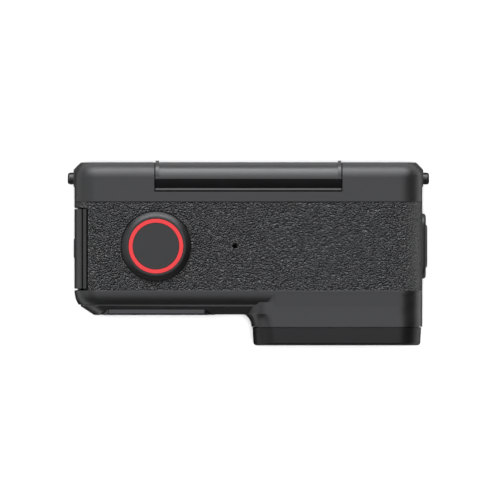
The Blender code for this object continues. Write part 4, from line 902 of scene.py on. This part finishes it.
# Screen. The rear screen's frame is a smooth black moulding, chamfered down its sides, with a finger tab
# at each side; its glass is glued in flush and its metal cover closes it from the body's side.
screen_low, screen_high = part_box("screen_frame")
screen_glass_low, screen_glass_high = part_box("screen_glass")
screen_half = case_high.x + 0.2 * mm
screen = block("screen_rim", (-screen_half, screen_low.y, screen_low.z),
               (screen_half, screen_high.y, screen_high.z))
round_edges(screen, runs("Z", lambda m: m.y > screen_high.y - hair), 1.5 * mm, 1)
round_edges(screen, lies("Y", screen_high.y), 0.2 * mm, 3)
screen_outline = block("screen_outline", (-screen_half, screen_low.y - 1 * mm, screen_low.z),
                       (screen_half, screen_high.y + 1 * mm, screen_high.z + 1 * mm))
round_edges(screen_outline, runs("Y", lambda m: m.z < case_middle), 2.0 * mm, 12)
shape(screen, "INTERSECT", screen_outline)
tab_radius = 1.2 * mm
tab_y = screen_low.y + 1.8 * mm
tab_z = 9.0 * mm
for side in (-1, 1):
    tab = rod("finger_tab", tab_radius, (side * (screen_half - 0.6 * mm), tab_y, tab_z),
              (side * screen_high.x, tab_y, tab_z), 48)
    round_edges(tab, lies("X", side * screen_high.x), 0.48 * mm, 6)
    weld(screen, tab)
gap = Vector((fit, fit, fit))
glass_room = block("glass_room", screen_glass_low - gap, screen_glass_high + gap + Vector((0, far, 0)))
round_edges(glass_room, runs("Y"), 1.0 * mm, 8)
lcd_low, lcd_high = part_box("screen_lcd")
cover_low, cover_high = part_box("screen_back_cover")
cover_room = block("cover_room", cover_low - gap - Vector((0, far, 0)), cover_high + gap)
round_edges(cover_room, runs("Y"), 2.0 * mm, 8)
catch_low, catch_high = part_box("screen_magnet")
tongue_half = 16 * mm
tongue_thick = 1.8 * mm
cut(screen, glass_room, block("lcd_room", lcd_low - gap, lcd_high + gap + Vector((0, far, 0))), cover_room,
    block("magnet_pocket", catch_low - gap - Vector((0, far, 0)), catch_high + gap),
    block("tongue_room", (-tongue_half - fit, hinge_y - tongue_thick / 2 - fit, screen_high.z - 1.85 * mm),
          (tongue_half + fit, hinge_y + tongue_thick / 2 + fit, screen_high.z + far)))
smooth(screen, soften=0.07 * mm)
screen_black = satin_black("screen_black", 0.43)
wear(screen, screen_black, "screen", "screen_plastic", "screen_frame")

rear_glass = block("rear_glass", screen_glass_low, screen_glass_high)
round_edges(rear_glass, runs("Y"), 0.85 * mm, 8)
round_edges(rear_glass, lies("Y", screen_glass_high.y), 0.16 * mm, 3)
smooth(rear_glass)
wear(rear_glass, black_glass("touch_black"), "screen", "gloss_glass", "screen_glass")

cover = block("screen_cover", cover_low, cover_high)
round_edges(cover, runs("Y"), 1.85 * mm, 10)
round_edges(cover, lies("Y", cover_low.y), 0.12 * mm, 2)
smooth(cover)


def blasted_metal(name, colour, roughness, grain=0.1 * mm, metallic=1.0):
    """Bead-blasted metal: small soft pits, the finish wandering from one place to the next."""
    surface = new_surface(name, colour, roughness, metallic)
    place = tint(surface, colour, 0.07, 120)
    spark_eroded(surface, place, grain, 0.006 * mm)
    return surface


dark_metal = blasted_metal("dark_anodised", (0.06, 0.06, 0.065), 0.42)
wear(cover, dark_metal, "screen", "aluminium", "screen_back_cover")


# Hinge barrel. A long smooth bar between the shoulders, moulded with the tongue that carries the screen;
# a groove runs along its front, and a low fin stands up at the rear of each end. It turns on steel pins.
def long_bar(name, corners, half_length):
    """A bar along the width; its section has the given corners, each a (y, z) from the hinge's axis."""
    deselect()
    bpy.ops.mesh.primitive_circle_add(vertices=len(corners), radius=1 * mm, fill_type="NGON",
                                      location=(-half_length, 0, 0), rotation=(0, math.pi / 2, 0))
    bar = settle(bpy.context.object)
    bar.name = name
    starts = [point.co.copy() for point in bar.data.vertices]
    edit_mode()
    bpy.context.tool_settings.mesh_select_mode = (True, False, False)
    for i, (y, z) in enumerate(corners):
        bpy.ops.mesh.select_all(action="DESELECT")
        object_mode()
        bar.data.vertices[i].select = True
        edit_mode()
        bpy.ops.transform.translate(value=(0, hinge_y + y - starts[i].y, hinge_z + z - starts[i].z))
    bpy.ops.mesh.select_all(action="SELECT")
    bpy.ops.mesh.extrude_region_move(TRANSFORM_OT_translate={"value": (2 * half_length, 0, 0)})
    face_outwards()
    return bar


def past(start, end, more):
    """The point beyond the end of a line, by a distance."""
    line = Vector(end) - Vector(start)
    return tuple(Vector(end) + line.normalized() * more)


crest = (0.0, hinge_radius)
groove_lip = (-0.515 * hinge_radius, 0.691 * hinge_radius)
groove_low = (-0.49 * hinge_radius, 0.55 * hinge_radius)
ridge_rear = (-0.565 * hinge_radius, 0.705 * hinge_radius)
ridge_turn = math.radians(133)
ridge_front = (hinge_radius * math.cos(ridge_turn), hinge_radius * math.sin(ridge_turn))
over_groove = (-0.6 * hinge_radius, 1.5 * hinge_radius)
fin_length = 0.7 * mm
fin_rise = 0.36 * mm
barrel = rod_on_hinge("barrel_bar", hinge_radius, -barrel_high.x, barrel_high.x, 160)
for side in (-1, 1):
    weld(barrel, rod_on_hinge("end_fin", hinge_radius - 0.02 * mm, side * (barrel_high.x - fin_length),
                              side * barrel_high.x, 160, fin_rise))
cut(barrel, long_bar("barrel_groove", (past(groove_lip, crest, 0.5 * mm), groove_lip, groove_low,
                                       ridge_rear, past(ridge_rear, ridge_front, 0.5 * mm), over_groove),
                     barrel_high.x + 1 * mm))
weld(barrel, block("barrel_tongue", (-tongue_half, hinge_y - tongue_thick / 2, screen_high.z - 1.7 * mm),
                   (tongue_half, hinge_y + tongue_thick / 2, hinge_z - hinge_radius + 1 * mm)))
for side in (-1, 1):
    cut(barrel, rod_on_hinge("pin_bore", hinge_pin_hole, side * (barrel_high.x - 3.6 * mm),
                             side * (barrel_high.x + 1 * mm), 32))
smooth(barrel, 25, soften=0.05 * mm)
barrel_black = satin_black("barrel_black", 0.36, 0.25 * mm, 0.002 * mm)
wear(barrel, barrel_black, "screen", "screen_plastic", "hinge_barrel")


# Base plate. Pressed aluminium let into the base, with a claw notch at each end, held by four screws over
# the two magnets that a quick mount grips.
plate = block("mount_plate", plate_low, plate_high)
round_edges(plate, runs("Z"), 2.0 * mm, 10)
notch_deep, notch_half, notch_y = 1.5 * mm, 2.5 * mm, 1.0 * mm
for side in (-1, 1):
    notch = block("claw_notch", (side * plate_high.x - notch_deep, notch_y - notch_half, -far),
                  (side * plate_high.x + notch_deep, notch_y + notch_half, far))
    round_edges(notch, runs("Z"), 0.4 * mm, 5)
    cut(plate, notch)
for i in range(4):
    screw_low, screw_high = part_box("base_screw_%d" % (i + 1))
    screw = (screw_low + screw_high) / 2
    cut(plate, rod("screw_room", screw_hole, (screw.x, screw.y, -far), (screw.x, screw.y, far), 32))
smooth(plate, soften=0.1 * mm)
wear(plate, blasted_metal("plate_anodised", (0.05, 0.05, 0.054), 0.45), "camera", "aluminium", "base_plate")


# Fixings. The screws are small pan heads and the pins ground rods, both of blackened steel; the
# magnets and sockets nickel-plated.
def dress(surface, soften, *names):
    """Gives solids that stay as they are their material, and a soft edge where one is asked for."""
    for name in names:
        piece = bpy.data.objects[name]
        piece.data.materials.clear()
        piece.data.materials.append(surface)
        if soften:
            joined = piece.modifiers.new("joined", "WELD")
            joined.merge_threshold = 0.001 * mm
            edge = piece.modifiers.new("soft_edge", "BEVEL")
            edge.width = soften
            edge.segments = 2
            edge.limit_method = "ANGLE"
            edge.angle_limit = math.radians(50)


screws = ["rear_screw_%d" % (i + 1) for i in range(4)] + ["base_screw_%d" % (i + 1) for i in range(4)]
dress(blasted_metal("black_screw", (0.08, 0.08, 0.085), 0.36, 0.05 * mm), 0.0, *screws)
dress(blasted_metal("black_pin", (0.03, 0.03, 0.032), 0.34, 0.04 * mm), 0.05 * mm,
      "hinge_pin_left", "hinge_pin_right", "door_hinge_pin")
dress(blasted_metal("nickel", (0.6, 0.59, 0.57), 0.24, 0.06 * mm), 0.05 * mm, "mount_magnet_left",
      "mount_magnet_right", "screen_magnet", "usb_port", "card_slot", "door_inner_plate",
      "processor_shield", "heat_spreader")


def woven_mesh():
    """Fine steel cloth behind the sound slots."""
    surface = new_surface("steel_cloth", (0.05, 0.05, 0.052), 0.45, 0.8)
    wires = node(surface, "ShaderNodeTexVoronoi", feature="F1")
    wires.inputs["Scale"].default_value = 5200
    wires.inputs["Randomness"].default_value = 0.0
    wire(surface, node(surface, "ShaderNodeTexCoord"), (wires, "Vector"), 3)
    two_tone(surface, wires, (0.004, 0.004, 0.004), (0.09, 0.09, 0.092), 0.2, 0.6)
    emboss(surface, wires, 0.04 * mm)
    return surface


dress(woven_mesh(), 0.0, "speaker_mesh")
membrane = soft_rubber("black_membrane", (0.0015, 0.0015, 0.0015), 0.9)
shine(membrane, 0.1)
dress(membrane, 0.0, "top_mic_mesh")


# Inside. Green boards, the battery in its dark grey sleeve, black moulded switches and drivers, the
# lens's rear group, and the rubber seals of the door and the guard.
dress(rubber, 0.0, "door_gasket", "lens_guard_seal")


def solder_mask():
    """Green solder mask with copper tracks faintly raised under it."""
    green = (0.012, 0.085, 0.035)
    surface = new_surface("solder_mask", green, 0.35)
    tracks = node(surface, "ShaderNodeTexBrick")
    tracks.inputs["Scale"].default_value = 260
    tracks.inputs["Mortar Size"].default_value = 0.03
    tracks.inputs["Color1"].default_value = (*green, 1)
    tracks.inputs["Color2"].default_value = (0.016, 0.11, 0.045, 1)
    tracks.inputs["Mortar"].default_value = (0.03, 0.17, 0.08, 1)
    wire(surface, node(surface, "ShaderNodeTexCoord"), (tracks, "Vector"), 3)
    wire(surface, tracks, (shader_of(surface), "Base Color"))
    emboss(surface, tracks, 0.03 * mm, 1)
    return surface


dress(solder_mask(), 0.0, "main_board", "sensor_board", "port_board")
dress(satin_black("moulded_dark", 0.5), 0.06 * mm, "power_switch", "shutter_switch", "speaker_driver",
      "memory_card", "lens_retaining_ring")
sleeve_grey = (0.028, 0.028, 0.03)
sleeve = new_surface("battery_sleeve", sleeve_grey, 0.38)
spark_eroded(sleeve, tint(sleeve, sleeve_grey, 0.12, 180), 0.3 * mm, 0.004 * mm)
dress(sleeve, 0.25 * mm, "battery")
dress(black_glass("panel_black"), 0.0, "front_display", "screen_lcd", "image_sensor")
dress(coated_glass("rear_coat", (0.7, 0.9, 0.75)), 0.0, "lens_rear_group")


# Stage. A pale floor, a softbox overhead, three long ones behind the camera body, one to its left and
# one low in front of it, and plain fill. All but the overhead one and the fill show only as gloss.
deselect()
bpy.ops.mesh.primitive_plane_add(size=6.0, location=(0, 0, -0.05 * mm))
floor = bpy.context.object
floor.name = "floor"
pale = new_surface("pale_floor", (0.9, 0.9, 0.9), 0.9)
shine(pale, 0.0)
floor.data.materials.append(pale)


def stand_up(name, data):
    stand = bpy.data.objects.new(name, data)
    bpy.context.scene.collection.objects.link(stand)
    return stand


def softbox(name, place, aim, width, height, glow):
    """A rectangular area light; glow is how bright its face looks."""
    lamp = bpy.data.lights.new(name, "AREA")
    lamp.shape = "RECTANGLE"
    lamp.size = width
    lamp.size_y = height
    lamp.energy = glow * math.pi * width * height
    lamp.color = (0.965, 0.97, 1.0)
    stand = stand_up(name, lamp)
    stand.location = place
    stand.rotation_euler = (Vector(aim) - Vector(place)).to_track_quat("-Z", "Y").to_euler()
    return stand


body_middle = (0, 0, 0.05)


def rear_box(name, elevation, glow):
    """A long softbox behind the camera body, at an elevation in degrees."""
    distance, width, height = 1.0, 1.5, 0.30
    turn = math.radians(elevation)
    return softbox(name, (0, distance * math.cos(turn), body_middle[2] + distance * math.sin(turn)),
                   body_middle, width, height, glow)


lamps = [softbox("overhead", (0, -0.02, 1.25), (0, 0, 0), 1.2, 1.2, 1.7),
         rear_box("rear_low", 22, 11.0), rear_box("rear_middle", 40, 6.6), rear_box("rear_high", 58, 3.4),
         softbox("left_side", (-0.87, 0.0, 0.55), body_middle, 1.2, 0.9, 1.3),
         softbox("front_low", (0.0, -1.0, 0.2), body_middle, 1.5, 0.3, 0.4)]
for lamp in lamps:
    lamp.visible_camera = False
    lamp.visible_diffuse = lamp.name == "overhead"
sun = bpy.data.lights.new("fill", "SUN")
sun.energy = 3.6
sun.angle = math.radians(4)
stand_up("fill", sun).visible_glossy = False

# A black card lies on the floor round the camera body, and only its reflection shows: it paints dark
# reflections into the body's sides and lower rounded edges where the pale floor would otherwise be
# mirrored. The camera, diffuse light and shadows pass it by.
card = block("black_card", (-0.105, -0.08, -0.045 * mm), (0.074, 0.055, -0.03 * mm))
card_black = new_surface("card_black", (0.01, 0.01, 0.01), 0.9)
shine(card_black, 0.0)
card.data.materials.append(card_black)
card.visible_camera = False
card.visible_diffuse = False
card.visible_shadow = False

world = bpy.data.worlds.new("studio")
bpy.context.scene.world = world
world.use_nodes = True
room_glow, backdrop_glow = 0.05, 1.1
tree = world.node_tree
sky = tree.nodes["Background"]
sky.inputs["Color"].default_value = (1, 1, 1, 1)
sight = tree.nodes.new("ShaderNodeLightPath")
level = tree.nodes.new("ShaderNodeMapRange")
level.inputs["To Min"].default_value = room_glow
level.inputs["To Max"].default_value = backdrop_glow
tree.links.new(sight.outputs["Is Camera Ray"], level.inputs["Value"])
tree.links.new(level.outputs[0], sky.inputs["Strength"])

view_distance = 4.4
lens_per_metre = 351.2
camera_data = bpy.data.cameras.new("view")
camera_data.lens = lens_per_metre * view_distance
camera_data.sensor_width = 36
camera_data.clip_start = 0.01
camera = stand_up("view", camera_data)
camera.location = (0.33 * mm, 0.6 * mm, case_high.z + view_distance)
bpy.context.scene.camera = camera
bpy.context.scene.view_settings.view_transform = "Standard"
